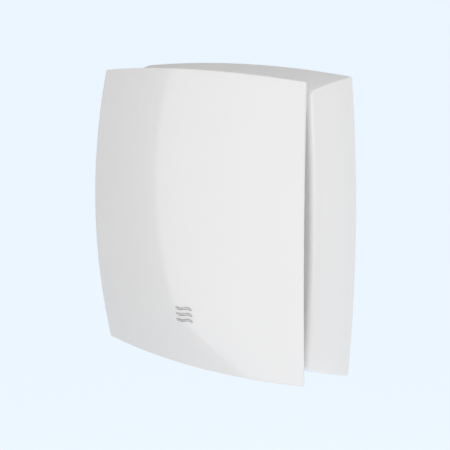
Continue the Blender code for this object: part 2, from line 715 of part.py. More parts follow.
def impeller(parent, finish, steel):
    """Hub cup with twisted blades, and the shaft that it turns on."""
    bm = bmesh.new()
    profile = [
        (SHAFT_BORE_R, HUB_FRONT),
        (HUB_INNER_R, HUB_FRONT),
        (HUB_R, HUB_FRONT + 0.003),
        (HUB_R, HUB_BACK),
        (HUB_INNER_R, HUB_BACK),
        (HUB_INNER_R, HUB_FRONT + 0.003),
        (SHAFT_BORE_R, HUB_FRONT + 0.003),
    ]
    turned(bm, profile, steps=20)
    hub = make("fan_impeller", bm, finish, parent)
    blades = bmesh.new()
    root_r, stations = (HUB_R + HUB_INNER_R) / 2, 4
    middle = (FAN_BLADE_FRONT + FAN_BLADE_BACK) / 2
    high = FAN_BLADE_BACK - FAN_BLADE_FRONT
    for number in range(FAN_BLADES):
        rows = []
        for station in range(stations):
            share = station / (stations - 1)
            r = root_r + share * (FAN_TIP_R - root_r)
            slope = 1 / tan(radians(52 - 26 * share))
            sweep = 2 * pi * number / FAN_BLADES + 0.25 * share
            row = []
            for side in (-1, 1):
                for along in (-0.5, 0.0, 0.5)[::side]:
                    camber = 0.0016 * (1 - 4 * along * along)
                    arc = high * along * slope + camber + side * 0.0009
                    turn = sweep + arc / r
                    row.append(blades.verts.new((r * cos(turn), middle + high * along, r * sin(turn))))
            rows.append(row)
        for row, following in zip(rows, rows[1:]):
            for i in range(len(row)):
                j = (i + 1) % len(row)
                blades.faces.new((row[i], row[j], following[j], following[i]))
        blades.faces.new(rows[0])
        blades.faces.new(rows[-1])
    combine(hub, "UNION", "impeller_blades", blades)
    shaft = bmesh.new()
    rod(shaft, SHAFT_R, HUB_FRONT - 0.0010, 0.0078, (0, 0, 0), "Y", 8)
    make("fan_shaft", shaft, steel, parent)


# Heat store cartridge

def cartridge(parent, ceramic, foam, fleece, plastic):
    """Honeycomb heat store in its foam sleeve, between two filters, with a grille outside."""
    sleeve = bmesh.new()
    outer_r = SPIGOT_BORE_R - GAP
    flat_ring(sleeve, SLEEVE_BORE_R, outer_r, SLEEVE_FRONT, SLEEVE_BACK)
    make("core_sleeve", sleeve, foam, parent)
    block = bmesh.new()
    rod(block, CORE_R, CORE_FRONT, SLEEVE_BACK, (0, 0, 0), "Y", LARGE_ROUND)
    core = make("heat_store_core", block, ceramic, parent)
    channels = bmesh.new()
    half = (CHANNEL_PITCH - CHANNEL_WALL) / 2
    for column in range(-4, 5):
        for row in range(-4, 5):
            x, z = column * CHANNEL_PITCH, row * CHANNEL_PITCH
            if sqrt((abs(x) + half) ** 2 + (abs(z) + half) ** 2) < CHANNEL_ZONE_R:
                low = (x - half, CORE_FRONT - 0.002, z - half)
                box(channels, low, (x + half, SLEEVE_BACK + 0.002, z + half))
    combine(core, "DIFFERENCE", "core_channels", channels)
    inner = bmesh.new()
    rod(inner, CORE_R, SLEEVE_FRONT, CORE_FRONT - GAP, (0, 0, 0), "Y", LARGE_ROUND)
    make("inner_filter", inner, fleece, parent)
    outer = bmesh.new()
    rod(outer, outer_r, OUTER_FILTER[0], OUTER_FILTER[1], (0, 0, 0), "Y", LARGE_ROUND)
    make("outer_filter", outer, fleece, parent)
    ring = bmesh.new()
    low, high = OUTER_GRILLE
    flat_ring(ring, CORE_R, outer_r, low, high)
    grille = make("outer_grille", ring, plastic, parent)
    for number in range(-3, 4):
        bar = bmesh.new()
        z = number * 0.020
        reach = sqrt(0.0725**2 - z * z)
        box(bar, (-reach, low + 0.0005, z - 0.0012), (reach, high - 0.0005, z + 0.0012))
        combine(grille, "UNION", f"grille_bar_{number + 4}", bar)
    spine = bmesh.new()
    box(spine, (-0.0015, low + 0.0002, -0.0722), (0.0015, high - 0.0002, 0.0722))
    combine(grille, "UNION", "grille_spine", spine)
    tab = bmesh.new()
    middle = 0.038
    box(tab, (middle - 0.008, 0.0088, -middle - 0.001), (middle + 0.008, 0.0172, -middle + 0.001))
    handle = make("pull_tab", tab, plastic, parent)
    slot = bmesh.new()
    box(slot, (middle - 0.0055, 0.0106, -middle - 0.003), (middle + 0.0055, 0.0146, -middle + 0.003))
    combine(handle, "DIFFERENCE", "tab_slot", slot)


# Electrics and controls

def electrics(parent, board_finish, plastic, dark, rubber):
    board = bmesh.new()
    box(board, BOARD_LOW, BOARD_HIGH)
    make("control_board", board, board_finish, parent)
    supply = bmesh.new()
    front = BOARD_LOW[1] - GAP
    box(supply, (-0.055, front - 0.0180, -0.126), (-0.024, front, -0.102))
    bmesh.ops.bevel(supply, geom=supply.edges[:], offset=0.0010, segments=1, affect="EDGES")
    make("power_supply", supply, dark, parent)
    block = bmesh.new()
    box(block, (0.0405, -0.0150, -0.122), (0.0665, -PLATE_THICK - GAP, -0.106))
    terminals = make("terminal_block", block, plastic, parent)
    wells = bmesh.new()
    for number in range(3):
        rod(wells, 0.0024, -0.020, -0.0105, (0.0455 + number * 0.008, 0, -0.114), "Y", 8)
    combine(terminals, "DIFFERENCE", "terminal_wells", wells)
    hood = bmesh.new()
    box(hood, (0.0380, -0.0185, -0.1245), (0.0690, -0.0045, -0.1035))
    cover = make("terminal_cover", hood, dark, parent)
    hollow = bmesh.new()
    box(hollow, (0.0394, -0.0170, -0.1231), (0.0676, 0.0, -0.1049))
    combine(cover, "DIFFERENCE", "cover_hollow", hollow)
    grommet = bmesh.new()
    lip = -PLATE_THICK - GAP
    profile = [
        (0.0045, lip - 0.0022),
        (0.0098, lip - 0.0022),
        (0.0098, lip),
        (0.0076, lip),
        (0.0076, -0.0005),
        (0.0045, -0.0005),
    ]
    turned(grommet, profile, (CABLE_HOLE_X, 0, CABLE_HOLE_Z), "Y", SMALL_ROUND)
    make("cable_grommet", grommet, rubber, parent)
    fan_route = [
        (-0.010, -0.0170, -0.0795),
        (-0.010, -0.0172, -0.0860),
        (-0.010, -0.0190, -0.0940),
        (-0.010, -0.0185, -0.1020),
        (-0.010, -0.0140, -0.1060),
    ]
    smooth_lead("fan_lead", fan_route, 0.0018, rubber, parent)
    drive_route = [
        (0.0940, -0.0338, -0.0068),
        (0.0940, -0.0338, -0.0300),
        (0.0942, -0.0330, -0.0600),
        (0.0930, -0.0300, -0.0850),
        (0.0800, -0.0260, -0.0970),
        (0.0550, -0.0240, -0.1000),
        (0.0300, -0.0220, -0.1030),
        (0.0200, -0.0180, -0.1060),
        (0.0180, -0.0140, -0.1080),
    ]
    smooth_lead("actuator_lead", drive_route, 0.0015, rubber, parent)


def controls(button_parent, slider_parent, fixed, plastic, clear):
    """Push button, sliding switch and status lens in the casing's underside."""
    button = bmesh.new()
    profile = [
        (0, -0.1494),
        (BUTTON_R - 0.0008, -0.1494),
        (BUTTON_R, -0.1486),
        (BUTTON_R, -0.1415),
        (0.0062, -0.1415),
        (0.0062, -0.1398),
        (0, -0.1398),
    ]
    turned(button, profile, (BUTTON_X, CONTROL_Y, 0), "Z", SMALL_ROUND, closed=False)
    make("power_button", button, plastic, button_parent)
    slider = bmesh.new()
    low = (SLIDER_X - 0.0145, CONTROL_Y - 0.0042, -0.1430)
    box(slider, low, (SLIDER_X + 0.0145, CONTROL_Y + 0.0042, -0.1415))
    knob_plate = make("mode_slider", slider, plastic, slider_parent)
    knob = bmesh.new()
    low = (SLIDER_X - SLIDER_KNOB_X, CONTROL_Y - SLIDER_KNOB_Y, -0.1498)
    box(knob, low, (SLIDER_X + SLIDER_KNOB_X, CONTROL_Y + SLIDER_KNOB_Y, -0.1425))
    combine(knob_plate, "UNION", "slider_knob", knob)
    lens = bmesh.new()
    profile = [
        (0, -0.1470),
        (LENS_R * 0.6, -0.1468),
        (LENS_R, -0.1462),
        (LENS_R, -0.1414),
        (0.0032, -0.1414),
        (0.0032, -0.1402),
        (0, -0.1402),
    ]
    turned(lens, profile, (LENS_X, CONTROL_Y, 0), "Z", SMALL_ROUND, closed=False)
    make("indicator_lens", lens, clear, fixed)


def main():
    for obj in list(bpy.data.objects):
        bpy.data.objects.remove(obj, do_unlink=True)
    gloss_white = material("gloss_white", (0.86, 0.87, 0.86), 0.18)
    satin_white = material("satin_white", (0.80, 0.80, 0.80), 0.38)
    grey_plastic = material("grey_plastic", (0.35, 0.36, 0.37), 0.50)
    black_plastic = material("black_plastic", (0.03, 0.03, 0.03), 0.45)
    chrome = material("chrome", (0.80, 0.80, 0.82), 0.10, 1.0)
    zinc = material("zinc", (0.60, 0.60, 0.58), 0.35, 1.0)
    foam = material("foam", (0.08, 0.08, 0.09), 0.90)
    ceramic = material("ceramic", (0.72, 0.66, 0.55), 0.70)
    fleece = material("fleece", (0.80, 0.82, 0.82), 0.95)
    board_green = material("board_green", (0.03, 0.22, 0.10), 0.40)
    clear = material("clear", (0.80, 0.95, 0.85), 0.15)
    rubber = material("rubber", (0.05, 0.05, 0.05), 0.70)

    unit = pivot("unit_origin", (0, 0, 0))
    cover = pivot("cover_slide", (0, COVER_CORNER_Y, 0), unit)
    front_cover(cover, gloss_white)
    cover_studs(cover, grey_plastic)
    badge(cover, chrome)
    casing(unit, satin_white)
    stud_sockets(unit, grey_plastic)
    rear_plate(unit, satin_white)
    spigot(unit, satin_white, foam)
    screws(unit, zinc)

    louvre_frame(unit, satin_white)
    for number in range(BLADE_COUNT):
        axis = pivot(f"blade_axis_{number + 1}", (0, LOUVRE_AXIS_Y, blade_height(number)), unit)
        louvre_blade(number, axis, satin_white)
        if number == 0:
            link_axis = pivot("link_axis", (LINK_X, *lug_pin(blade_height(0))), axis)
            louvre_link(link_axis, grey_plastic)
    crank_axis = pivot("crank_axis", (LINK_X, LOUVRE_AXIS_Y, CRANK_Z), unit)
    louvre_drive(unit, crank_axis, grey_plastic, black_plastic)

    fan_housing(unit, grey_plastic)
    fan_guard(unit, black_plastic)
    fan_motor(unit, black_plastic)
    impeller(pivot("fan_axis", (0, 0, 0), unit), grey_plastic, zinc)
    cartridge(pivot("cartridge_slide", (0, 0, 0), unit), ceramic, foam, fleece, grey_plastic)

    electrics(unit, board_green, grey_plastic, black_plastic, rubber)
    button_axis = pivot("button_slide", (BUTTON_X, CONTROL_Y, -0.1415), unit)
    slider_axis = pivot("slider_slide", (SLIDER_X, CONTROL_Y, -0.1415), unit)
    controls(button_axis, slider_axis, unit, satin_white, clear)


main()
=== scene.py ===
"""Looks of the wall-mounted heat recovery ventilator: its mouldings, finishes, stage and camera.

Lengths are in metres, but in millimetres inside mm(). The front faces -Y, the wall lies at +Y, +Z is up,
and the origin is on the duct axis at the wall.
"""

import json
from math import cos, pi, radians, sin, sqrt, tan

import bpy
from mathutils import Matrix, Vector


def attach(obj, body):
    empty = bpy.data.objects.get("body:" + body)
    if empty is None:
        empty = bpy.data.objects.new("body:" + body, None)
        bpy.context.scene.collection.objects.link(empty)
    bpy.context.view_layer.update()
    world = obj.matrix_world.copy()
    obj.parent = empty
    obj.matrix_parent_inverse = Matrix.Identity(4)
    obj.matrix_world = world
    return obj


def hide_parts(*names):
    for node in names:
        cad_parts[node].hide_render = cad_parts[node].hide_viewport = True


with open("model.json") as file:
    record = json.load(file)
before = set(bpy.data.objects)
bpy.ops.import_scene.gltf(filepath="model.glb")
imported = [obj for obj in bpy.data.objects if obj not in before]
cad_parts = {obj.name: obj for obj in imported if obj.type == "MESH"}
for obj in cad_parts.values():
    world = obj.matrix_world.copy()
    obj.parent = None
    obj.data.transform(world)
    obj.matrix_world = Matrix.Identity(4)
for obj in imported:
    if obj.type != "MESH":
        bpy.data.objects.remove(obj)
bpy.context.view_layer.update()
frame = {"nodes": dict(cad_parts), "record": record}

# Camera: where it stands, what it is aimed at, its tilt and its lens
CAMERA_AZIMUTH = radians(44.453)
CAMERA_HEIGHT_ANGLE = radians(9.879)
CAMERA_DISTANCE = 1.41747
CAMERA_AIM = Vector((-0.0121, -0.015, -0.0125))
CAMERA_ROLL = radians(-0.113)
CAMERA_LENS = 109.21
SENSOR_WIDTH = 36

# Stage: floor, bright softbox, grey card behind it, lamps at the front right and above, and sky
STAGE_ROUGHNESS = 0.9
STAGE_NOISE = 0.6
FLOOR_Z = -1.9
FLOOR_SIZE = 3000
FLOOR_COLOUR = (0.79, 0.885, 1.0)
FLOOR_BRIGHT = 0.837
SOFTBOX_AZIMUTH = radians(40)
SOFTBOX_DISTANCE = 2.5
SOFTBOX_SIDES = (-0.47, 0.13, 0.9)
SOFTBOX_ENDS = (-1.8, -1.14, 0.85)
SOFTBOX_BRIGHT = 0.69
CARD_GAP = 0.02
CARD_SIDES = (-1.6, 0.9)
CARD_ENDS = (-1.88, 0.5)
CARD_BRIGHT = 0.29
LAMP_COLOUR = (1.0, 0.94, 0.91)
RIGHT_PLACE = (1.75, -1.75, 0.2)
RIGHT_SIZE = (1.2, 1.2)
RIGHT_POWER = 26.5
TOP_PLACE = (0.2, -0.3, 2.2)
TOP_SIZE = (1.6, 1.6)
TOP_POWER = 22.5
TOP_COLOUR = (0.77, 0.85, 1.0)
WORLD_COLOUR = (1.0, 0.932, 0.8)
WORLD_BRIGHT = 0.385

# Finishes
COAT_ROUGHNESS = 0.06

# Front cover: half sizes at its corners, how far its edges bow out, and its dome
COVER_HALF = (0.1402, 0.145)
COVER_BOW = (0.0086, 0.0066)
COVER_CORNER_Y = -0.0632
COVER_DOME = (0.0089, 0.0129)
COVER_WALL = 0.004
COVER_DRAFT = 0.0027
COVER_CORNER_ROUND = 0.003
COVER_CELLS = 46
STUD_PLACE = (0.105, 0.112)
COVER_RIM_ROUND = 0.0007
RIM_ROW = 0.012
STUD_BOSS_END = -0.056
STUD_BALL_R = 0.004
STUD_BALL_Y = -0.0415
GAP = 0.0003
BADGE_X = -0.007
BADGE_Z = -0.096
BADGE_PITCH = 0.0062
BADGE_HALF = 0.0115
BADGE_STROKE_HALF = 0.0013
BADGE_WAVE = 0.0011
BADGE_PROUD = 0.0012

# Casing: half sizes and bows at the wall and at the front rim
BACK_HALF = (0.1428, 0.1468)
BACK_BOW = (0.0074, 0.007)
RIM_HALF = (0.1275, 0.1331)
RIM_BOW = (0.0058, 0.007)
CASING_DEPTH = 0.0451
FLANK_STRAIGHT = 0.53
CASING_WALL = 0.0025
RIM_ROUND = 0.0045
OPENING_HALF = 0.083
END_CELL = 0.008
CASING_SCREW_PLACE = (0.108, 0.07)
SPIGOT_SCREW_PLACE = (0.085 * sqrt(0.5),) * 2
SCREW_HOLE_R = 0.0022
FLANGE_FRONT = -0.0063

# Louvre
LOUVRE_AXIS_Y = -0.034
LOUVRE_HALF = 0.08
LOUVRE_WALL = 0.0025
BLADE_COUNT = 7
BLADE_PITCH = 0.0225
BLADE_LEFT = -0.0792
BLADE_RIGHT = 0.0716
LUG_RADIUS = 0.007
LUG_END_R = 0.0023
PIN_R = 0.0013
LUG_REST = radians(-40)
LINK_X = 0.0742
LINK_DEEP = 0.0026
LINK_END_R = 0.003
FLANGE_BACK = -0.0454
FRAME_BACK = -0.0226
CRANK_Z = BLADE_PITCH / 2

# Fan
ROUND_STEPS = 96
FAN_TUBE_END = 0.015
FAN_TUBE_R = 0.0762
MOUTH_Y = -0.0173
MOUNT_FRONT = 0.011
MOUNT_BACK = 0.015
FAN_BORE_R = 0.0742
FAN_TIP_R = 0.073
BLADE_ROOT_R = 0.0285
FAN_BLADE_WALL = 0.0017
FAN_BLADE_COUNT = 7
ROOT_ANGLE = 52
TWIST = 26
HUB_R = 0.03
SHAFT_BORE_R = 0.0023
GUARD_FRONT = -0.0168
GUARD_BACK = -0.0148

# Wall plate and duct spigot
PLATE_INSET = 0.0045
WALL_HOLE_PLACE = (0.112, 0.118)
CABLE_X = 0.084
CABLE_Z = -0.114
DUCT_HOLE_R = 0.0794
TUBE_R = 0.079
TUBE_BORE_R = 0.0765
CABLE_HOLE_R = 0.008

# Cartridge
CORE_R = 0.071
CORE_FRONT = 0.023
CORE_BACK = 0.061
CARTRIDGE_R = 0.0762
CELL_ZONE_R = 0.0655
CELL_COUNT = 34
CELL_GRID = 0.136
CELL_WALL = 0.0004
NET_R = 0.0712
NET_CELLS = 48
NET_GRID = 0.142
NET_WIRE = 0.0004
GRILLE_Y = (0.0665, 0.0695)

# Controls under the casing
CONTROL_Y = -0.024
BUTTON_X = -0.05
BUTTON_R = 0.0045
SLIDER_X = -0.015
LENS_X = -0.074
LENS_R = 0.002


AXES = {"X": Vector((1, 0, 0)), "Y": Vector((0, 1, 0)), "Z": Vector((0, 0, 1))}


# Hand tools

def leave_edit():
    if bpy.context.object and bpy.context.mode != "OBJECT":
        bpy.ops.object.mode_set(mode="OBJECT")


def fresh():
    """Leaves edit mode and deselects everything, ready for a new primitive."""
    leave_edit()
    bpy.ops.object.select_all(action="DESELECT")


def only(obj):
    """Makes the object the only selected one, outside edit mode."""
    fresh()
    obj.select_set(True)
    bpy.context.view_layer.objects.active = obj


def edit(obj, kind):
    """Opens the object for editing its faces, edges or vertices."""
    only(obj)
    bpy.ops.object.mode_set(mode="EDIT")
    bpy.ops.mesh.select_mode(type=kind)


def mm(*points):
    """Points given in millimetres, in metres."""
    return [tuple(v / 1000 for v in point) for point in points]


def select_all():
    bpy.ops.mesh.select_all(action="SELECT")


def extrude(move):
    bpy.ops.mesh.extrude_region_move(TRANSFORM_OT_translate={"value": move})


def bevel(width, segments):
    bpy.ops.mesh.bevel(offset=width, segments=segments, affect="EDGES")


def clipped_grid(name, cells, size, y, radius):
    """Upright grid without the faces that lie past the radius, open for editing."""
    fresh()
    bpy.ops.mesh.primitive_grid_add(x_subdivisions=cells, y_subdivisions=cells, size=size,
                                    rotation=(pi / 2, 0, 0))
    grid = named(name)
    grid.data.transform(Matrix.Translation((0, y, 0)))
    pick(grid, "FACE", lambda m, n: sqrt(m.x**2 + m.z**2) > radius)
    bpy.ops.mesh.delete(type="FACE")
    return grid


def discard(obj):
    bpy.data.objects.remove(obj, do_unlink=True)


def rounded(point):
    """The point as a tuple that serves as a key."""
    return tuple(round(c, 6) for c in point)


def named(name):
    """Names the primitive that was just added, and bakes its place into its mesh."""
    obj = bpy.context.object
    obj.name = obj.data.name = name
    bpy.ops.object.transform_apply(location=True, rotation=True, scale=True)
    return obj


def pick(obj, kind, test):
    """Selects the faces, edges or vertices whose middle and normal pass the test, in edit mode."""
    edit(obj, kind)
    bpy.ops.mesh.select_all(action="DESELECT")
    bpy.ops.object.mode_set(mode="OBJECT")
    mesh = obj.data
    if kind == "FACE":
        for face in mesh.polygons:
            face.select = bool(test(face.center, face.normal))
    elif kind == "EDGE":
        for edge in mesh.edges:
            a, b = (mesh.vertices[i].co for i in edge.vertices)
            edge.select = bool(test((a + b) / 2, b - a))
    else:
        for vertex in mesh.vertices:
            vertex.select = bool(test(vertex.co, vertex.normal))
    bpy.ops.object.mode_set(mode="EDIT")


def tidy_normals(obj):
    """Merges doubles and turns every face outwards."""
    edit(obj, "VERT")
    select_all()
    bpy.ops.mesh.remove_doubles(threshold=1e-6)
    bpy.ops.mesh.normals_make_consistent(inside=False)
    leave_edit()


def apply(obj, kind, **settings):
    """Adds a modifier and applies it."""
    only(obj)
    modifier = obj.modifiers.new(kind.lower(), kind)
    for key, value in settings.items():
        setattr(modifier, key, value)
    bpy.ops.object.modifier_apply(modifier=modifier.name)


def boolean(obj, operation, *others):
    """Cuts the other shapes from the object or joins them on, and removes them."""
    for other in others:
        apply(obj, "BOOLEAN", operation=operation, object=other, solver="EXACT")
        discard(other)
    return obj


def soften(obj, width, segments=2, angle=40):
    """Rounds every edge sharper than the angle."""
    apply(obj, "BEVEL", width=width, segments=segments, limit_method="ANGLE", angle_limit=radians(angle),
          use_clamp_overlap=True)
    return obj


def copy_of(obj, name, move=(0, 0, 0)):
    """A copy with its own mesh, moved."""
    only(obj)
    bpy.ops.object.duplicate()
    twin = bpy.context.object
    twin.name = twin.data.name = name
    twin.data.transform(Matrix.Translation(move))
    return twin


def block(name, low, high, round_edge=0.0, segments=2):
    """Rounded block between two corners."""
    fresh()
    low, high = Vector(low), Vector(high)
    bpy.ops.mesh.primitive_cube_add(size=1, location=(low + high) / 2, scale=high - low)
    obj = named(name)
    if round_edge:
        edit(obj, "EDGE")
        select_all()
        bevel(round_edge, segments)
        leave_edit()
    return obj


def lathe(name, profile, centre=(0, 0, 0), axis="Y", steps=96, ring=False):
    """Extrudes one point along (radius, height) points and spins the line about the axis."""
    fresh()
    along = AXES[axis]
    out = Vector((0, 0, 1)) if axis == "X" else Vector((1, 0, 0))
    places = [Vector(centre) + out * r + along * h for r, h in profile]
    bpy.ops.mesh.primitive_plane_add(size=0.001, location=places[0])
    obj = named(name)
    edit(obj, "VERT")
    select_all()
    bpy.ops.mesh.merge(type="CENTER")
    for before, after in zip(places, places[1:]):
        extrude(after - before)
    select_all()
    if ring:
        ends = [Vector(places[0]), Vector(places[-1])]
        pick(obj, "VERT", lambda co, n: min((co - end).length for end in ends) < 1e-7)
        bpy.ops.mesh.edge_face_add()
        select_all()
    bpy.ops.mesh.spin(steps=steps, angle=2 * pi, center=centre, axis=along)
    tidy_normals(obj)
    return obj


def stack(name, loops, ring=False):
    """Extrudes a circle's edge through (outline, y) loops of as many points each. A ring is closed."""
    fresh()
    count = len(loops[0][0])
    bpy.ops.mesh.primitive_circle_add(vertices=count, radius=1, fill_type="NOTHING")
    obj = named(name)
    places = [[Vector((x, y, z)) for x, z in outline] for outline, y in loops]
    for vertex, place in zip(obj.data.vertices, places[0]):
        vertex.co = place
    edit(obj, "VERT")
    select_all()
    for before, after in zip(places, places[1:]):
        extrude((0, 0, 0))
        bpy.ops.object.mode_set(mode="OBJECT")
        follow = {rounded(a): b for a, b in zip(before, after)}
        for vertex in obj.data.vertices:
            if vertex.select:
                vertex.co = follow[rounded(vertex.co)]
        bpy.ops.object.mode_set(mode="EDIT")
    if ring:
        ends = {rounded(p) for p in places[0] + places[-1]}
        pick(obj, "VERT", lambda co, n: rounded(co) in ends)
        bpy.ops.mesh.select_mode(type="EDGE")
        bpy.ops.mesh.bridge_edge_loops()
    else:
        for end in (places[0], places[-1]):
            rim = {rounded(p) for p in end}
            pick(obj, "VERT", lambda co, n: rounded(co) in rim)
            bpy.ops.mesh.edge_face_add()
    tidy_normals(obj)
    return obj


def peg(name, radius, start, end, centre=(0, 0, 0), axis="Y", sides=32):
    """Plain round bar along an axis, for cutting with or joining on."""
    fresh()
    middle = Vector(centre) + AXES[axis] * (start + end) / 2
    turn = {"X": (0, pi / 2, 0), "Y": (pi / 2, 0, 0), "Z": (0, 0, 0)}[axis]
    bpy.ops.mesh.primitive_cylinder_add(vertices=sides, radius=radius, depth=abs(end - start),
                                        location=middle, rotation=turn)
    return named(name)


def prism(name, points, along):
    """Face through the points, extruded along the vector."""
    fresh()
    bpy.ops.mesh.primitive_circle_add(vertices=len(points), radius=1, fill_type="NGON")
    obj = named(name)
    for vertex, point in zip(obj.data.vertices, points):
        vertex.co = point
    edit(obj, "FACE")
    select_all()
    extrude(along)
    tidy_normals(obj)
    return obj


def join(name, *parts):
    """Joins shapes into one object."""
    fresh()
    for part in parts:
        part.select_set(True)
    bpy.context.view_layer.objects.active = parts[0]
    bpy.ops.object.join()
    parts[0].name = parts[0].data.name = name
    return parts[0]


def turned_copies(obj, angles):
    """Copies turned about the duct's axis, in place of the object."""
    twins = []
    for number, angle in enumerate(angles):
        twins.append(copy_of(obj, f"{obj.name}_{number}"))
        twins[-1].data.transform(Matrix.Rotation(angle, 4, "Y"))
    discard(obj)
    return twins


def cut(obj, *cutters):
    """Cuts shapes that don't touch each other from the object, all at once."""
    return boolean(obj, "DIFFERENCE", join("cutters", *cutters))


def corner_pegs(corner, radius, start, end):
    """A round bar along Y at each of the four corners."""
    return [peg("corner_peg", radius, start, end, (x, 0, z)) for x, z in four_corners(*corner)]


def place_piece(obj, slot, body, *nodes, smooth=35):
    """Finishes a piece: smooth shading, material, the body that it rides on and the nodes it stands for."""
    only(obj)
    bpy.ops.object.shade_smooth_by_angle(angle=radians(smooth))
    obj.data.materials.clear()
    obj.data.materials.append(FINISH[slot])
    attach(obj, body)
    if nodes:
        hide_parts(*nodes)


# Outlines

def bowed(half, bow, corner, side=24, turn=6):
    """Anticlockwise (x, z) loop with parabolic sides and rounded corners."""
    (half_x, half_z), (bow_x, bow_z) = half, bow
    reach = (1 - corner / half_x, 1 - corner / half_z)

    def right(s):
        return Vector((half_x + bow_x * (1 - s * s), half_z * s))

    def top(s):
        return Vector((half_x * s, half_z + bow_z * (1 - s * s)))

    inner = [(2 * i / side - 1) * (1 - END_CELL) for i in range(side + 1)]
    shares = [-1.0] + inner + [1.0]
    points = [right(s * reach[1]) for s in shares]
    last, tip, end = points[-1], Vector((half_x, half_z)), top(reach[0])
    for i in range(1, turn):
        t = i / turn
        points.append(last * (1 - t) ** 2 + tip * 2 * t * (1 - t) + end * t * t)
    points += [top(-s * reach[0]) for s in shares]
    corner_points = points[side + 3 : side + turn + 2]
    points += [Vector((-p.x, p.y)) for p in reversed(corner_points)]
    return [(p.x, p.y) for p in points] + [(-p.x, -p.y) for p in points]


def square(half, corner=0.004, side=24, turn=6):
    return bowed((half, half), (0, 0), corner, side, turn)


def casing_outline(share, inset=0.0, corner=0.002):
    """The casing's outline at this share of its depth, from the wall to the rim."""
    lean = FLANK_STRAIGHT * share + (1 - FLANK_STRAIGHT) * share**2
    half = [a + lean * (b - a) - inset for a, b in zip(BACK_HALF, RIM_HALF)]
    bow = [a + lean * (b - a) for a, b in zip(BACK_BOW, RIM_BOW)]
    return bowed(half, bow, corner)


def cover_front(x, z):
    """Depth of the cover's domed front."""
    across = COVER_DOME[0] * (1 - (x / COVER_HALF[0]) ** 2)
    return COVER_CORNER_Y - across - COVER_DOME[1] * (1 - (z / COVER_HALF[1]) ** 2)


def four_corners(x, z):
    return [(x, z), (-x, z), (-x, -z), (x, -z)]


# Finishes

class Finish:
    """A Principled material that is built up node by node."""

    def __init__(self, name, roughness, metallic=0.0, coat=0.0, specular=0.5):
        self.material = bpy.data.materials.new(name)
        self.material.use_nodes = True
        self.tree = self.material.node_tree
        self.shader = self.tree.nodes["Principled BSDF"]
        for socket, value in (("Roughness", roughness), ("Metallic", metallic), ("Coat Weight", coat),
                              ("Coat Roughness", COAT_ROUGHNESS), ("Specular IOR Level", specular)):
            self.shader.inputs[socket].default_value = value
        self.place = self.node("ShaderNodeTexCoord").outputs["Object"]

    def node(self, kind, **settings):
        made = self.tree.nodes.new(kind)
        for key, value in settings.items():
            setattr(made, key, value)
        return made

    def link(self, a, b):
        self.tree.links.new(a, b)

    def noise(self, scale, detail=3.0):
        """Noise in the piece's own space."""
        made = self.node("ShaderNodeTexNoise")
        made.inputs["Scale"].default_value = scale
        made.inputs["Detail"].default_value = detail
        self.link(self.place, made.inputs["Vector"])
        return made.outputs["Fac"]

    def spread(self, value, low, high, start=0.3, end=0.7):
        """Maps a noise value to a range."""
        made = self.node("ShaderNodeMapRange")
        made.inputs["From Min"].default_value = start
        made.inputs["From Max"].default_value = end
        made.inputs["To Min"].default_value = low
        made.inputs["To Max"].default_value = high
        self.link(value, made.inputs["Value"])
        return made.outputs["Result"]

    def blend_colours(self, factor, first, second):
        made = self.node("ShaderNodeMix", data_type="RGBA")
        self.link(factor, [s for s in made.inputs if s.name == "Factor" and s.type == "VALUE"][0])
        ends = [s for s in made.inputs if s.type == "RGBA"]
        for socket, colour in zip(ends, (first, second)):
            socket.default_value = (*colour, 1)
        return [out for out in made.outputs if out.type == "RGBA"][0]

    def colour(self, value):
        self.link(value, self.shader.inputs["Base Color"])

    def rough(self, value):
        self.link(value, self.shader.inputs["Roughness"])

    def relief(self, height, depth):
        """Bump of this height, added to any bump that is there already."""
        bump = self.node("ShaderNodeBump")
        bump.inputs["Distance"].default_value = depth
        bump.inputs["Strength"].default_value = 1.0
        self.link(height, bump.inputs["Height"])
        normal = self.shader.inputs["Normal"]
        if normal.is_linked:
            self.link(normal.links[0].from_socket, bump.inputs["Normal"])
        self.link(bump.outputs["Normal"], normal)

    def clouds(self, scale, first, second):
        """Base colour that drifts between two colours."""
        self.colour(self.blend_colours(self.spread(self.noise(scale), 0.0, 1.0), first, second))

    def glow(self, colour, brightness):
        self.shader.inputs["Emission Color"].default_value = (*colour, 1)
        self.shader.inputs["Emission Strength"].default_value = brightness


def plastic(name, colour, roughness, grain=0.00001, coat=0.0, mottle=0.985):
    """Moulded plastic: faint flow marks in its colour, uneven gloss and a fine grain."""
    finish = Finish(name, roughness, coat=coat)
    darker = tuple(c * mottle for c in colour)
    finish.clouds(22.0, darker, colour)
    finish.rough(finish.spread(finish.noise(55.0), roughness * 0.93, roughness * 1.07))
    finish.relief(finish.noise(1400.0, 2.0), grain)
    return finish.material


def metal(name, colour, roughness, grain=0.00001):
    """Plated or drawn metal, with a faint grain."""
    finish = Finish(name, roughness, metallic=1.0)
    darker = tuple(c * 0.9 for c in colour)
    streaks = finish.spread(finish.noise(160.0, 4.0), 0.0, 1.0)
    finish.colour(finish.blend_colours(streaks, darker, colour))
    finish.rough(finish.spread(finish.noise(420.0), roughness * 0.8, roughness * 1.25))
    finish.relief(finish.noise(900.0, 2.0), grain)
    return finish.material


def cellular(name, colour, dark, scale, depth, roughness=0.95):
    """Open-celled foam or fleece, darker in its pores."""
    finish = Finish(name, roughness)
    cells = finish.node("ShaderNodeTexVoronoi")
    cells.inputs["Scale"].default_value = scale
    finish.link(finish.place, cells.inputs["Vector"])
    shade = finish.spread(cells.outputs["Distance"], 0.0, 1.0, 0.05, 0.75)
    finish.colour(finish.blend_colours(shade, colour, dark))
    finish.relief(cells.outputs["Distance"], depth)
    finish.relief(finish.noise(scale * 2.3, 4.0), depth * 0.5)
    return finish.material


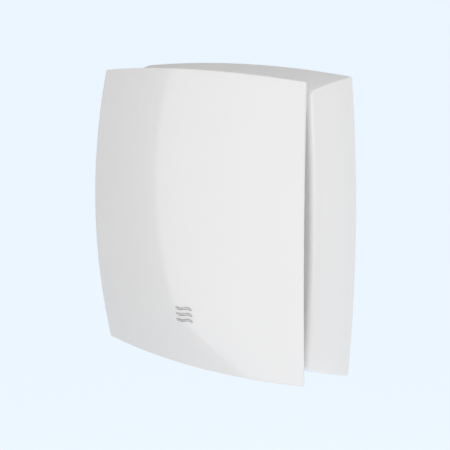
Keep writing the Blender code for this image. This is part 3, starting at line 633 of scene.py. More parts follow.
def make_finishes():
    return {
        "gloss_white": plastic("gloss_white", (0.75, 0.745, 0.74), 0.2, 0.000002, coat=1.0, mottle=0.992),
        "satin_white": plastic("satin_white", (0.757, 0.752, 0.747), 0.38, 0.000012),
        "grey_plastic": plastic("grey_plastic", (0.3, 0.31, 0.32), 0.48, 0.00002, mottle=0.93),
        "black_plastic": plastic("black_plastic", (0.025, 0.025, 0.027), 0.42, 0.00002, mottle=0.8),
        "chrome": metal("chrome", (0.6, 0.6, 0.61), 0.11, 0.000001),
        "zinc": metal("zinc", (0.62, 0.62, 0.58), 0.3, 0.00001),
        "foam": cellular("foam", (0.07, 0.07, 0.075), (0.012, 0.012, 0.012), 900.0, 0.0005),
        "ceramic": cellular("ceramic", (0.7, 0.63, 0.52), (0.55, 0.48, 0.38), 1300.0, 0.00006, 0.75),
        "fleece": cellular("fleece", (0.78, 0.8, 0.8), (0.52, 0.55, 0.56), 1500.0, 0.0004),
        "board_green": plastic("board_green", (0.02, 0.17, 0.07), 0.32, mottle=0.75),
        "rubber": plastic("rubber", (0.03, 0.03, 0.03), 0.68, 0.00003, mottle=0.8),
        "clear": clear_plastic(),
    }


def clear_plastic():
    finish = Finish("clear", 0.12)
    finish.clouds(120.0, (0.55, 0.85, 0.62), (0.7, 0.93, 0.76))
    finish.shader.inputs["Transmission Weight"].default_value = 0.6
    finish.relief(finish.noise(700.0), 0.00001)
    return finish.material


FINISH = make_finishes()


# Front cover

def cover_point(u, v, back):
    """Point of the cover's front, or of its back, at shares -1 to 1 of its width and height."""
    x = u * (COVER_HALF[0] + COVER_BOW[0] * (1 - v * v))
    z = v * (COVER_HALF[1] + COVER_BOW[1] * (1 - u * u))
    return Vector((x, cover_front(x, z) + back, z))


def rim_share(share):
    """Pulls the outermost inner row close to the edge, so that the rim's rounding stays narrow."""
    step = 2 / COVER_CELLS
    if 1 - abs(share) < 0.5 * step:
        return share
    return share * (1 - RIM_ROW) / (1 - step)


def make_cover():
    """Domed plate with rounded corners, a soft front edge and bosses on its back."""
    fresh()
    bpy.ops.mesh.primitive_grid_add(x_subdivisions=COVER_CELLS, y_subdivisions=COVER_CELLS, size=2)
    cover = named("cover_moulding")
    for vertex in cover.data.vertices:
        vertex.co = cover_point(rim_share(vertex.co.x), rim_share(vertex.co.y), 0.0)
    edit(cover, "FACE")
    select_all()
    extrude((0, COVER_WALL, 0))
    bpy.ops.transform.resize(value=(1 - COVER_DRAFT / COVER_HALF[0], 1, 1 - COVER_DRAFT / COVER_HALF[1]),
                             center_override=(0, 0, 0))
    tidy_normals(cover)
    tips = [Vector((x * COVER_HALF[0], z * COVER_HALF[1])) for x, z in four_corners(1, 1)]
    near = 0.003
    pick(cover, "EDGE", lambda m, d: d.y**2 > 0.2 * d.length_squared
         and min((Vector((m.x, m.z)) - t).length for t in tips) < near)
    bevel(COVER_CORNER_ROUND, 6)
    soften(cover, COVER_RIM_ROUND, 3, 50)
    bosses = []
    for number, (x, z) in enumerate(four_corners(*STUD_PLACE)):
        root = cover_front(x, z) + COVER_WALL - 0.0015
        profile = [(0, root), (0.009, root), (0.009, root + 0.0018), (0.0072, root + 0.0032),
                   (0.0066, root + 0.0055), (0.0065, STUD_BOSS_END - 0.0006), (0.006, STUD_BOSS_END),
                   (0, STUD_BOSS_END)]
        bosses.append(lathe(f"boss_{number}", profile, (x, 0, z), steps=48))
    return boolean(cover, "UNION", join("bosses", *bosses))


def make_stud():
    """Ball stud with a flange, at the first corner."""
    x, z = STUD_PLACE
    flange = STUD_BOSS_END + GAP
    arc = [radians(a) for a in range(-50, 90, 10)]
    ball = [(STUD_BALL_R * cos(a), STUD_BALL_Y + STUD_BALL_R * sin(a)) for a in arc]
    neck = [(0, flange), (0.0057, flange), (0.006, flange + 0.0004), (0.006, flange + 0.0012),
            (0.0056, flange + 0.0016), (0.0032, flange + 0.0018), (0.0026, flange + 0.003)]
    return lathe("cover_stud", neck + ball + [(0, STUD_BALL_Y + STUD_BALL_R)], (x, 0, z), steps=40)


def make_socket():
    """Snap socket for a ball stud, with a rounded lip and four slits, at the first corner."""
    x, z = STUD_PLACE
    front, back = -CASING_DEPTH - GAP, -0.0345
    profile = [(0.0052, front - 0.0016), (0.0056, front - 0.002), (0.0091, front - 0.002),
               (0.0095, front - 0.0016), (0.0095, front), (0.008, front), (0.0072, back), (0.0044, back),
               (0.0044, front)]
    socket = lathe("stud_socket", profile, (x, 0, z), steps=56, ring=True)
    slits = [block("slit_a", (x - 0.012, back - 0.006, z - 0.0006), (x + 0.012, back + 0.001, z + 0.0006)),
             block("slit_b", (x - 0.0006, back - 0.006, z - 0.012), (x + 0.0006, back + 0.001, z + 0.012))]
    return boolean(socket, "DIFFERENCE", *slits)


def place_four(obj, name, slot, body, node, corner):
    """Puts the piece made for the first corner at all four."""
    for number, (x, z) in enumerate(four_corners(*corner), 1):
        twin = copy_of(obj, f"{name}_{number}", (x - corner[0], 0, z - corner[1]))
        place_piece(twin, slot, body, f"{node}_{number}")
    discard(obj)


def make_badge_stroke(number):
    """One short wavy stroke that follows the dome, with a rounded crown."""
    fresh()
    bpy.ops.mesh.primitive_cube_add(size=2)
    stroke = named(f"badge_stroke_{number}")
    pick(stroke, "EDGE", lambda m, d: abs(d.x) > 1)
    bpy.ops.mesh.subdivide(number_cuts=35)
    leave_edit()
    middle_z = BADGE_Z - (number - 2) * BADGE_PITCH
    for vertex in stroke.data.vertices:
        share, side, out = vertex.co.x, vertex.co.z, vertex.co.y < 0
        half = BADGE_STROKE_HALF * sqrt(max(1 - share**6, 0.1)) * (0.75 if out else 1)
        x = BADGE_X + share * BADGE_HALF
        z = middle_z + BADGE_WAVE * sin(share * pi) + side * half
        vertex.co = (x, cover_front(x, z) - (BADGE_PROUD if out else 0.0002), z)
    return soften(stroke, 0.0003, 3, 30)


place_piece(make_cover(), "gloss_white", "cover", "front_cover")
for stroke_number in (1, 2, 3):
    place_piece(make_badge_stroke(stroke_number), "chrome", "cover", f"badge_bar_{stroke_number}")
place_four(make_stud(), "ball_stud", "grey_plastic", "cover", "cover_stud", STUD_PLACE)
place_four(make_socket(), "snap_socket", "grey_plastic", "housing", "stud_socket", STUD_PLACE)


# Casing

def make_casing():
    """Flared shell with a rounded rim and a flat deck that has a square air opening."""
    flank_end = 1 - RIM_ROUND / CASING_DEPTH
    shares = [flank_end * i / 10 for i in range(11)]
    outer = [(casing_outline(0.0, 0.0006), 0.0), (casing_outline(0.0), -0.0006)]
    outer += [(casing_outline(s), -s * CASING_DEPTH) for s in shares[1:]]
    for i in range(1, 9):
        turn = i / 8 * pi / 2
        depth = CASING_DEPTH - RIM_ROUND * (1 - sin(turn))
        outer.append((casing_outline(depth / CASING_DEPTH, RIM_ROUND * (1 - cos(turn))), -depth))
    opening = square(OPENING_HALF)
    deck_back = -CASING_DEPTH + CASING_WALL
    deck = [(opening, -CASING_DEPTH), (opening, deck_back), (casing_outline(1, RIM_ROUND), deck_back)]
    inner = [(casing_outline(s, CASING_WALL), -s * CASING_DEPTH) for s in reversed(shares[1:])]
    inner.append((casing_outline(0.0, CASING_WALL), 0.0))
    casing = stack("casing_moulding", outer + deck + inner, ring=True)
    cutters = corner_pegs(STUD_PLACE, 0.0083, -0.05, -0.038)
    cutters += corner_pegs(CASING_SCREW_PLACE, SCREW_HOLE_R, -0.05, -0.038)
    under, over = -0.155, -0.138
    cutters.append(peg("cut_button", BUTTON_R + 0.0004, under, over, (BUTTON_X, CONTROL_Y, 0), "Z"))
    cutters.append(peg("cut_lens", LENS_R + 0.0004, under, over, (LENS_X, CONTROL_Y, 0), "Z"))
    cutters.append(block("cut_slot", (SLIDER_X - 0.0095, CONTROL_Y - 0.0024, under),
                         (SLIDER_X + 0.0095, CONTROL_Y + 0.0024, over)))
    return cut(casing, *cutters)


def make_screw():
    """Pan-head screw with a cross recess, its head's underside at y 0, pointing to +Y."""
    profile = mm((0, -2.2), (1.8, -2.2), (2.8, -1.8), (3.4, -1.1), (3.6, -0.3), (3.5, 0), (1.8, 0),
                 (1.8, 4), (0, 5))
    screw = lathe("screw", profile, steps=40)
    for name, half_x, half_z in (("recess_a", 0.0018, 0.0004), ("recess_b", 0.0004, 0.0018)):
        recess = block(name, (-half_x, -0.003, -half_z), (half_x, -0.0009, half_z))
        pick(recess, "FACE", lambda m, n: n.y > 0.9)
        bpy.ops.transform.resize(value=(0.55, 1, 0.55), center_override=(0, -0.0009, 0))
        leave_edit()
        boolean(screw, "DIFFERENCE", recess)
    return screw


def place_screws():
    screw = make_screw()
    for name, corner, y in (("casing_screw", CASING_SCREW_PLACE, -CASING_DEPTH - GAP),
                            ("spigot_screw", SPIGOT_SCREW_PLACE, FLANGE_FRONT - GAP)):
        for number, (x, z) in enumerate(four_corners(*corner), 1):
            twin = copy_of(screw, f"pan_{name}_{number}", (x, y, z))
            place_piece(twin, "zinc", "housing", f"{name}_{number}")
    discard(screw)


place_piece(make_casing(), "satin_white", "housing", "casing")
place_screws()


# Louvre

def make_louvre_frame():
    """Square frame with a rounded flange in front and pivot holes."""
    wall = LOUVRE_HALF + LOUVRE_WALL
    sizes = [(LOUVRE_HALF, -0.0474), (LOUVRE_HALF + 0.0005, -0.0479), (0.0943, -0.0479), (0.095, -0.0472),
             (0.095, FLANGE_BACK), (wall, FLANGE_BACK), (wall, FRAME_BACK), (LOUVRE_HALF, FRAME_BACK)]
    frame_piece = stack("air_frame", [(square(half), y) for half, y in sizes], ring=True)
    cutters = [peg(f"cut_{n}", 0.0018, -0.09, 0.09, (0, LOUVRE_AXIS_Y, blade_height(n)), "X", 20)
               for n in range(BLADE_COUNT)]
    cutters.append(peg("cut_crank", 0.0028, 0.07, 0.09, (0, LOUVRE_AXIS_Y, CRANK_Z), "X", 24))
    return cut(frame_piece, *cutters)


def blade_height(number):
    return (number - (BLADE_COUNT - 1) / 2) * BLADE_PITCH


def lug_outline(x, axis_z):
    """Arm with round ends from the louvre axis at this height to its pin."""
    pin_y, pin_z = LUG_RADIUS * cos(LUG_REST), LUG_RADIUS * sin(LUG_REST)
    turns = [pi * i / 10 for i in range(11)]
    ends = [((pin_y, pin_z), LUG_REST - pi / 2), ((0, 0), LUG_REST + pi / 2)]
    return [(x, LOUVRE_AXIS_Y + y + LUG_END_R * cos(a + t), axis_z + z + LUG_END_R * sin(a + t))
            for (y, z), a in ends for t in turns]


def pin_place(axis_z):
    return 0, LOUVRE_AXIS_Y + LUG_RADIUS * cos(LUG_REST), axis_z + LUG_RADIUS * sin(LUG_REST)


def make_blade():
    """Blade about the lowest axis: lens-shaped section, round edges, shaft, lug and pin."""
    axis_z = blade_height(0)
    shares = [i / 6 for i in range(-6, 7)]
    half = [0.00045 + 0.00105 * (1 - abs(s)) ** 0.9 for s in shares]
    points = [(BLADE_LEFT, LOUVRE_AXIS_Y - h, axis_z + s * 0.01075) for s, h in zip(shares, half)]
    points += [(x, 2 * LOUVRE_AXIS_Y - y, z) for x, y, z in reversed(points)]
    blade = soften(prism("blade", points, (BLADE_RIGHT - BLADE_LEFT, 0, 0)), 0.0003, 2, 45)
    lug = soften(prism("lug", lug_outline(BLADE_RIGHT - 0.0005, axis_z), (0.0025, 0, 0)), 0.0003)
    shaft = soften(peg("shaft", 0.0015, -0.0823, 0.0823, (0, LOUVRE_AXIS_Y, axis_z), "X"), 0.0003)
    pin = soften(peg("pin", PIN_R, 0.0726, 0.0765, pin_place(axis_z), "X"), 0.0003)
    return boolean(blade, "UNION", shaft, lug, pin)


def place_blades():
    blade = make_blade()
    for number in range(BLADE_COUNT):
        twin = copy_of(blade, f"air_blade_{number + 1}", (0, 0, number * BLADE_PITCH))
        place_piece(twin, "satin_white", f"blade_{number + 1}", f"louvre_blade_{number + 1}")
    discard(blade)


def make_link():
    """Upright bar with round ends and a hole for each pin."""
    pin_y = pin_place(0)[1]
    ends = [(pin_place(blade_height(BLADE_COUNT - 1))[2] + 0.001, 0),
            (pin_place(blade_height(0))[2] - 0.001, pi)]
    outline = [(LINK_X,
                pin_y + LINK_END_R * cos(pi * i / 10 + turn),
                z + LINK_END_R * sin(pi * i / 10 + turn))
               for z, turn in ends for i in range(11)]
    link = soften(prism("joining_bar", outline, (LINK_DEEP, 0, 0)), 0.0003)
    heights = [blade_height(number) for number in range(BLADE_COUNT)] + [CRANK_Z]
    holes = [peg(f"hole_{i}", 0.0016, 0.072, 0.079, pin_place(z), "X", 20) for i, z in enumerate(heights)]
    return cut(link, *holes)


def make_actuator():
    """Gear motor's case: rounded block with a lid line, a shaft collar and two case screws."""
    case = block("gear_motor", (0.0832, -0.0418, -0.006), (0.1045, -0.0258, 0.0285), 0.0012, 3)
    line = block("line", (0.097, -0.043, -0.007), (0.0974, -0.025, 0.0295))
    core = block("core", (0.096, -0.0415, -0.0057), (0.0984, -0.0261, 0.0282))
    boolean(case, "DIFFERENCE", boolean(line, "DIFFERENCE", core))
    collar = lathe("collar", mm((3, 82.8), (4.8, 82.8), (4.8, 84), (3, 84)),
                   (0, LOUVRE_AXIS_Y, CRANK_Z), "X", 40, ring=True)
    bore = peg("bore", 0.0027, 0.08, 0.09, (0, LOUVRE_AXIS_Y, CRANK_Z), "X")
    boolean(case, "DIFFERENCE", bore)
    screws = [lathe(f"case_screw_{i}", mm((0, 104.3), (1.6, 104.3), (1.6, 104.5), (0, 104.5)),
                    (0, y, z), "X", 24) for i, (y, z) in enumerate(((-0.0395, -0.0035), (-0.0281, 0.026)))]
    return join("gear_motor", case, collar, *screws)


def make_crank():
    """Crank arm with its shaft and its pin."""
    arm_x = LINK_X + LINK_DEEP + GAP
    arm = soften(prism("crank_arm", lug_outline(arm_x, CRANK_Z), (0.002, 0, 0)), 0.0003)
    shaft = soften(peg("crank_shaft", 0.0022, arm_x + 0.001, 0.089, (0, LOUVRE_AXIS_Y, CRANK_Z), "X"),
                   0.0003)
    pin = soften(peg("crank_pin", PIN_R, LINK_X + GAP, arm_x + 0.001, pin_place(CRANK_Z), "X"), 0.0002)
    return boolean(arm, "UNION", shaft, pin)


place_piece(make_louvre_frame(), "satin_white", "housing", "louvre_frame")
place_blades()
place_piece(make_link(), "grey_plastic", "link", "louvre_link")
place_piece(make_actuator(), "grey_plastic", "housing", "louvre_actuator")
place_piece(make_crank(), "black_plastic", "crank", "louvre_crank")


# Fan

def square_loop(half):
    """Square of this half width with cut corners, with as many points as a round loop."""
    turns = [2 * pi * i / ROUND_STEPS for i in range(ROUND_STEPS)]
    reach = [min(half / max(abs(cos(t)), abs(sin(t))), half * 1.36) for t in turns]
    return [(r * cos(t), r * sin(t)) for r, t in zip(reach, turns)]


def round_loop(radius):
    return [(radius * cos(2 * pi * i / ROUND_STEPS), radius * sin(2 * pi * i / ROUND_STEPS))
            for i in range(ROUND_STEPS)]


def make_fan_housing():
    """Square plate with a bell mouth, the fan tube, and a motor mount on four struts."""
    loops = [(square_loop(0.0845), -0.0223), (square_loop(0.085), -0.0218), (square_loop(0.085), -0.0198),
             (round_loop(FAN_TUBE_R), -0.0198), (round_loop(FAN_TUBE_R), FAN_TUBE_END),
             (round_loop(FAN_BORE_R), FAN_TUBE_END), (round_loop(FAN_BORE_R), MOUTH_Y)]
    loops += [(round_loop(FAN_BORE_R + 0.0048 * (1 - cos(t))), MOUTH_Y - 0.005 * sin(t))
              for t in (pi / 10, pi / 5, 0.3 * pi, 0.4 * pi, pi / 2)]
    housing = stack("fan_shroud", loops, ring=True)
    reach = FAN_BORE_R + 0.001
    struts = [block("strut_a", (-reach, MOUNT_FRONT, -0.003), (reach, MOUNT_BACK, 0.003), 0.001, 3),
              block("strut_b", (-0.003, MOUNT_FRONT, -reach), (0.003, MOUNT_BACK, reach), 0.001, 3)]
    disc = lathe("disc", mm((0, 11), (25.5, 11), (26, 11.5), (26, 14.5), (25.5, 15), (12, 15),
                            (11.5, 14.4), (0, 14.4)), steps=72)
    return boolean(housing, "UNION", *struts, disc)


def make_fan_guard():
    """Finger guard: three round rings and eight bars on a domed middle disc."""
    middle_y = (GUARD_FRONT + GUARD_BACK) / 2
    rings = []
    for number, radius in enumerate((0.0727, 0.06, 0.046, 0.03)):
        fresh()
        bpy.ops.mesh.primitive_torus_add(major_segments=96, minor_segments=12, major_radius=radius,
                                         minor_radius=0.00098, location=(0, middle_y, 0),
                                         rotation=(pi / 2, 0, 0))
        rings.append(named(f"guard_ring_{number}"))
        pick(rings[-1], "VERT", lambda co, n: co.y < middle_y - 0.0007)
        bpy.ops.transform.resize(value=(1, 0.7, 1), center_override=(0, middle_y - 0.0007, 0))
        leave_edit()
    disc = lathe("disc", [(0, GUARD_FRONT), (0.011, GUARD_FRONT), (0.0135, GUARD_FRONT + 0.0006),
                          (0.014, middle_y), (0.0138, GUARD_BACK), (0, GUARD_BACK)], steps=64)
    bar = block("bar", (-0.0725, GUARD_FRONT + 0.0003, -0.0009), (0.0725, GUARD_BACK - 0.0003, 0.0009),
                0.0004)
    bars = turned_copies(bar, [i * pi / 4 + pi / 8 for i in range(4)])
    return join("finger_guard", *rings, disc, *bars)


def make_motor():
    """External-rotor motor: stepped can with a blind bore, cooling slots and a rear flange."""
    back = 0.0107
    profile = [(0, 0.0083), (SHAFT_BORE_R, 0.0083), (SHAFT_BORE_R, -0.006), (0.0095, -0.006),
               (0.01, -0.0055), (0.01, -0.004), (0.0225, -0.004), (0.024, -0.0034), (0.025, -0.002),
               (0.025, 0.007), (0.0243, 0.0074), (0.0243, 0.008), (0.025, 0.0084), (0.025, back),
               (0, back)]
    motor = lathe("rotor_motor", profile, steps=80)
    slot = block("slot", (0.0125, -0.0055, -0.0016), (0.02, -0.003, 0.0016), 0.0006)
    return cut(motor, *turned_copies(slot, [i * pi / 3 + pi / 6 for i in range(6)]))


def make_fan_blade():
    """One twisted, cambered and swept blade, thickened and rounded."""
    fresh()
    bpy.ops.mesh.primitive_grid_add(x_subdivisions=14, y_subdivisions=10, size=2)
    blade = named("fan_blade")
    for vertex in blade.data.vertices:
        share, along = (vertex.co.x + 1) / 2, vertex.co.y / 2
        radius = BLADE_ROOT_R + share * (FAN_TIP_R - BLADE_ROOT_R)
        slope = 1 / tan(radians(ROOT_ANGLE - TWIST * share))
        arc = 0.018 * along * slope + 0.0016 * (1 - 4 * along * along)
        turn = 0.25 * share + arc / radius
        vertex.co = (radius * cos(turn), -0.002 + 0.0172 * along, radius * sin(turn))
    apply(blade, "SOLIDIFY", thickness=FAN_BLADE_WALL, offset=0)
    tidy_normals(blade)
    return soften(blade, 0.0004, 2, 50)


def make_impeller():
    """Hub cup with a rounded front, a raised ring, and seven blades."""
    bend = [radians(a) for a in range(0, 100, 15)]
    corner = [(HUB_R - 0.003 + 0.003 * sin(a), -0.01 - 0.003 * cos(a)) for a in bend]
    profile = [(SHAFT_BORE_R, -0.013), (0.005, -0.013), (0.0056, -0.0126), (0.018, -0.0126),
               (0.0186, -0.013)]
    profile += corner + [(HUB_R, 0.0086), (HUB_R - 0.0004, 0.009), (HUB_R - 0.003, 0.009),
                         (HUB_R - 0.003, -0.0094), (HUB_R - 0.0036, -0.01), (SHAFT_BORE_R, -0.01)]
    hub = lathe("fan_wheel", profile, ring=True)
    turns = [-2 * pi * i / FAN_BLADE_COUNT for i in range(FAN_BLADE_COUNT)]
    blades = turned_copies(make_fan_blade(), turns)
    return boolean(hub, "UNION", join("fan_blades", *blades))


def make_shaft():
    profile = mm((0, -14), (1.6, -14), (2, -13.6), (2, -12.2), (1.8, -12.1), (1.8, -11.6), (2, -11.5),
                 (2, 7.5), (1.7, 7.8), (0, 7.8))
    return lathe("steel_shaft", profile, steps=40)


place_piece(make_fan_housing(), "grey_plastic", "housing", "fan_housing")
place_piece(make_fan_guard(), "black_plastic", "housing", "fan_guard", smooth=50)
place_piece(make_motor(), "black_plastic", "housing", "fan_motor")
place_piece(make_impeller(), "grey_plastic", "impeller", "fan_impeller", smooth=45)
place_piece(make_shaft(), "zinc", "impeller", "fan_shaft")


# Wall plate and duct spigot

def make_rear_plate():
    """Wall plate with shallow pockets behind, posts in front, and holes for screws, duct and cable."""
    outline, inset = casing_outline(0, PLATE_INSET), casing_outline(0, PLATE_INSET + 0.0004)
    plate = stack("wall_plate", [(inset, 0.0), (outline, -0.0004), (outline, -0.0026), (inset, -0.003)])
    posts = []
    for number, (x, z) in enumerate(four_corners(*CASING_SCREW_PLACE)):
        profile = mm((0, -2), (7, -2), (7, -3.6), (5.6, -5), (5, -7.5), (5, -41.8), (4.6, -42.3),
                     (0, -42.3))
        posts.append(lathe(f"post_{number}", profile, (x, 0, z), steps=40))
    for number, (x, z) in enumerate(mm((-56, -126), (-56, -102), (24, -126), (24, -102))):
        profile = mm((0, -2), (4.2, -2), (3, -4), (3, -9.7), (0, -9.7))
        posts.append(lathe(f"standoff_{number}", profile, (x, 0, z), steps=32))
    boolean(plate, "UNION", join("posts", *posts))
    pockets = []
    for column in (-3, -2, -1, 1, 2, 3):
        for low_z, high_z in ((0.092, 0.134), (-0.134, -0.092)):
            if column != 3 or low_z > 0:
                x = column * 0.024
                pockets.append(block("pocket", (x - 0.01, -0.0012, low_z), (x + 0.01, 0.001, high_z)))
    for row in (-3, -1, 1, 3):
        for x in (-0.112, 0.112):
            z = row * 0.013
            pockets.append(block("pocket", (x - 0.019, -0.0012, z - 0.011), (x + 0.019, 0.001, z + 0.011)))
    cut(plate, *pockets)
    holes = [peg("duct_hole", DUCT_HOLE_R, -0.01, 0.01, sides=128)]
    holes += corner_pegs(WALL_HOLE_PLACE, 0.003, -0.01, 0.01)
    holes += corner_pegs(SPIGOT_SCREW_PLACE, SCREW_HOLE_R, -0.01, 0.01)
    holes += corner_pegs(CASING_SCREW_PLACE, SCREW_HOLE_R, -0.05, -0.015)
    holes.append(peg("cable_hole", CABLE_HOLE_R, -0.01, 0.01, (CABLE_X, 0, CABLE_Z), sides=48))
    return cut(plate, *holes)


def make_spigot():
    """Flanged duct tube with two beads beside the seal and a rounded lip."""
    bead = [(TUBE_R, 0.0215), (0.0797, 0.0221), (0.0797, 0.0233), (TUBE_R, 0.0239)]
    profile = [(TUBE_BORE_R, -0.0059), (0.0769, FLANGE_FRONT), (0.0896, FLANGE_FRONT), (0.09, -0.0059),
               (0.09, -0.0036), (0.0897, -0.0033), (TUBE_R, -0.0033)] + bead + [(r, y + 0.027) for r,
                                                                                y in bead]
    profile += [(TUBE_R, 0.0688), (0.0786, 0.0696), (0.078, 0.07), (0.077, 0.07), (TUBE_BORE_R, 0.0695)]
    tube = lathe("duct_tube", profile, steps=144, ring=True)
    return cut(tube, *corner_pegs(SPIGOT_SCREW_PLACE, SCREW_HOLE_R, -0.01, 0.01))


def make_seal():
    """Foam band with soft edges round the tube."""
    profile = mm((79.3, 26.2), (80, 26), (80.8, 26.2), (81.2, 27), (81.2, 45), (80.8, 45.8), (80, 46),
                 (79.3, 45.8))
    return lathe("seal_band", profile, steps=128, ring=True)


place_piece(make_rear_plate(), "satin_white", "housing", "rear_plate")
place_piece(make_spigot(), "satin_white", "housing", "duct_spigot")
place_piece(make_seal(), "foam", "housing", "duct_seal_band")


# Heat store cartridge

def make_sleeve():
    profile = [(CORE_R + 0.0003, 0.0178), (0.0716, 0.0175), (0.0757, 0.0175), (CARTRIDGE_R, 0.018),
               (CARTRIDGE_R, 0.0605), (0.0757, 0.061), (0.0716, 0.061), (CORE_R + 0.0003, 0.0607)]
    return lathe("foam_sleeve", profile, steps=128, ring=True)


def make_core():
    """Round honeycomb block: each cell of a clipped grid is inset and pressed deep into both ends."""
    cells = clipped_grid("honeycomb", CELL_COUNT, CELL_GRID, CORE_FRONT, CELL_ZONE_R)
    select_all()
    bpy.ops.mesh.inset(thickness=CELL_WALL, use_individual=True)
    extrude((0, CORE_BACK - CORE_FRONT - 0.0002, 0))
    bpy.ops.mesh.delete(type="FACE")
    leave_edit()
    apply(cells, "SOLIDIFY", thickness=0.0001, offset=1)
    profile = [(0.066, CORE_FRONT), (0.0706, CORE_FRONT), (CORE_R, 0.0234), (CORE_R, 0.0606),
               (0.0706, CORE_BACK), (0.066, CORE_BACK)]
    rim = lathe("core_rim", profile, ring=True)
    return join("heat_store", rim, cells)


def make_filter(name, radius, front, back):
    """Fleece disc with a soft rounded edge."""
    soft = min(0.0012, (back - front) / 3)
    return lathe(name, [(0, front), (radius - soft, front), (radius - 0.0002, front + soft * 0.6),
                        (radius, front + soft), (radius, back - soft),
                        (radius - 0.0002, back - soft * 0.6), (radius - soft, back), (0, back)])


def make_outer_grille():
    """Round grille: a rim, seven bars and a spine, all with rounded edges."""
    low, high = GRILLE_Y
    rim = lathe("grille_rim", [(CORE_R, low + 0.0004), (0.0714, low), (0.0758, low),
                               (CARTRIDGE_R, low + 0.0004), (CARTRIDGE_R, high - 0.0006), (0.0756, high),
                               (0.0716, high), (CORE_R, high - 0.0006)], steps=128, ring=True)
    bars = []
    for number in range(-3, 4):
        z = number * 0.02
        reach = sqrt(0.0725**2 - z * z)
        bars.append(block("bar", (-reach, low + 0.0005, z - 0.0012), (reach, high - 0.0005, z + 0.0012),
                          0.0005))
    bars.append(block("spine", (-0.0015, low + 0.0002, -0.0722), (0.0015, high - 0.0002, 0.0722), 0.0006))
    return join("rear_grille", rim, *bars)


def make_insect_net():
    """Fine net behind the grille's bars: a clipped grid turned into wires."""
    net = clipped_grid("insect_net", NET_CELLS, NET_GRID, GRILLE_Y[0] + GAP, NET_R)
    apply(net, "WIREFRAME", thickness=NET_WIRE, use_even_offset=False)
    return net


def make_pull_tab():
    """Flat tab with a finger slot."""
    middle = 0.038
    tab = block("finger_tab", (middle - 0.008, 0.0088, -middle - 0.001),
                (middle + 0.008, 0.0172, -middle + 0.001), 0.0006, 3)
    slot = block("slot", (middle - 0.0055, 0.0106, -middle - 0.003),
                 (middle + 0.0055, 0.0146, -middle + 0.003))
    pick(slot, "EDGE", lambda m, d: abs(d.z) > 0.001)
    bevel(0.0018, 5)
    leave_edit()
    return boolean(tab, "DIFFERENCE", slot)


place_piece(make_sleeve(), "foam", "cartridge", "core_sleeve")
place_piece(make_core(), "ceramic", "cartridge", "heat_store_core")
place_piece(make_filter("fleece_inside", CORE_R, 0.0175, 0.0227), "fleece", "cartridge", "inner_filter")
place_piece(make_filter("fleece_outside", CARTRIDGE_R, 0.0615, 0.066), "fleece", "cartridge",
            "outer_filter")
place_piece(make_outer_grille(), "grey_plastic", "cartridge", "outer_grille")
place_piece(make_insect_net(), "zinc", "cartridge")
place_piece(make_pull_tab(), "grey_plastic", "cartridge", "pull_tab")


# Controls

def make_button():
    """Push button with a dished end and a collar inside the casing."""
    profile = [(0, -0.1487), (0.0015, -0.1488), (0.0028, -0.1491), (0.0034, -0.1494), (0.004, -0.1493),
               (0.0044, -0.1489), (BUTTON_R, -0.1484), (BUTTON_R, -0.1415), (0.0059, -0.1415),
               (0.0062, -0.1412), (0.0062, -0.1401), (0.0059, -0.1398), (0, -0.1398)]
    return lathe("push_button", profile, (BUTTON_X, CONTROL_Y, 0), "Z", 56)


def make_slider():
    """Slider plate with a ribbed knob."""
    plate = block("slide_knob", (SLIDER_X - 0.0145, CONTROL_Y - 0.0042, -0.143),
                  (SLIDER_X + 0.0145, CONTROL_Y + 0.0042, -0.1415), 0.0003)
    knob = block("knob", (SLIDER_X - 0.004, CONTROL_Y - 0.002, -0.1498),
                 (SLIDER_X + 0.004, CONTROL_Y + 0.002, -0.1425), 0.0005, 3)
    boolean(plate, "UNION", knob)
    grooves = [block("groove", (SLIDER_X + i * 0.0013 - 0.0003, CONTROL_Y - 0.003, -0.151),
                     (SLIDER_X + i * 0.0013 + 0.0003, CONTROL_Y + 0.003, -0.1493))
               for i in (-2, -1, 0, 1, 2)]
    return cut(plate, *grooves)


def make_lens():
    arc = [radians(a) for a in (0, 20, 40, 60, 80)]
    dome = [(LENS_R * sin(a), -0.146 - 0.001 * cos(a)) for a in arc]
    profile = dome + [(LENS_R, -0.1456), (LENS_R, -0.1414), (0.0032, -0.1414), (0.0032, -0.1402),
                      (0, -0.1402)]
    return lathe("status_lens", profile, (LENS_X, CONTROL_Y, 0), "Z", 40)


place_piece(make_button(), "satin_white", "button", "power_button")
place_piece(make_slider(), "satin_white", "slider", "mode_slider")
place_piece(make_lens(), "clear", "housing", "indicator_lens")


# Electrics

BOARD_FACE = -0.0116
CHIP_X = -0.004
CHIP_Z = -0.121
WELLS = [(0.0455 + i * 0.008, 0, -0.114) for i in range(3)]


def make_board():
    """Circuit board with rounded corners and four screw holes."""
    board = block("circuit_board", (-0.062, BOARD_FACE, -0.131), (0.03, -0.01, -0.097))
    pick(board, "EDGE", lambda m, d: abs(d.y) > 0.001)
    bevel(0.002, 4)
    leave_edit()
    soften(board, 0.0002, 1)
    holes = [peg("hole", 0.0012, -0.013, -0.009, (x, 0, z)) for x in (-0.059, 0.027)
             for z in (-0.128, -0.1)]
    return cut(board, *holes)


def on_board(name, x, z, wide, high, tall, round_edge=0.0003):
    """Small block that stands on the board."""
    return block(name, (x - wide / 2, BOARD_FACE - tall, z - high / 2),
                 (x + wide / 2, BOARD_FACE + 0.0001, z + high / 2), round_edge)


def make_chips():
    """Dark parts: the controller, two small chips and a relay."""
    parts = [on_board("chip", CHIP_X, CHIP_Z, 0.01, 0.008, 0.0018),
             on_board("chip", 0.01, -0.124, 0.005, 0.004, 0.0014),
             on_board("chip", -0.016, -0.124, 0.005, 0.004, 0.0014),
             on_board("relay", 0.022, -0.116, 0.008, 0.013, 0.008)]
    return join("board_chips", *parts)


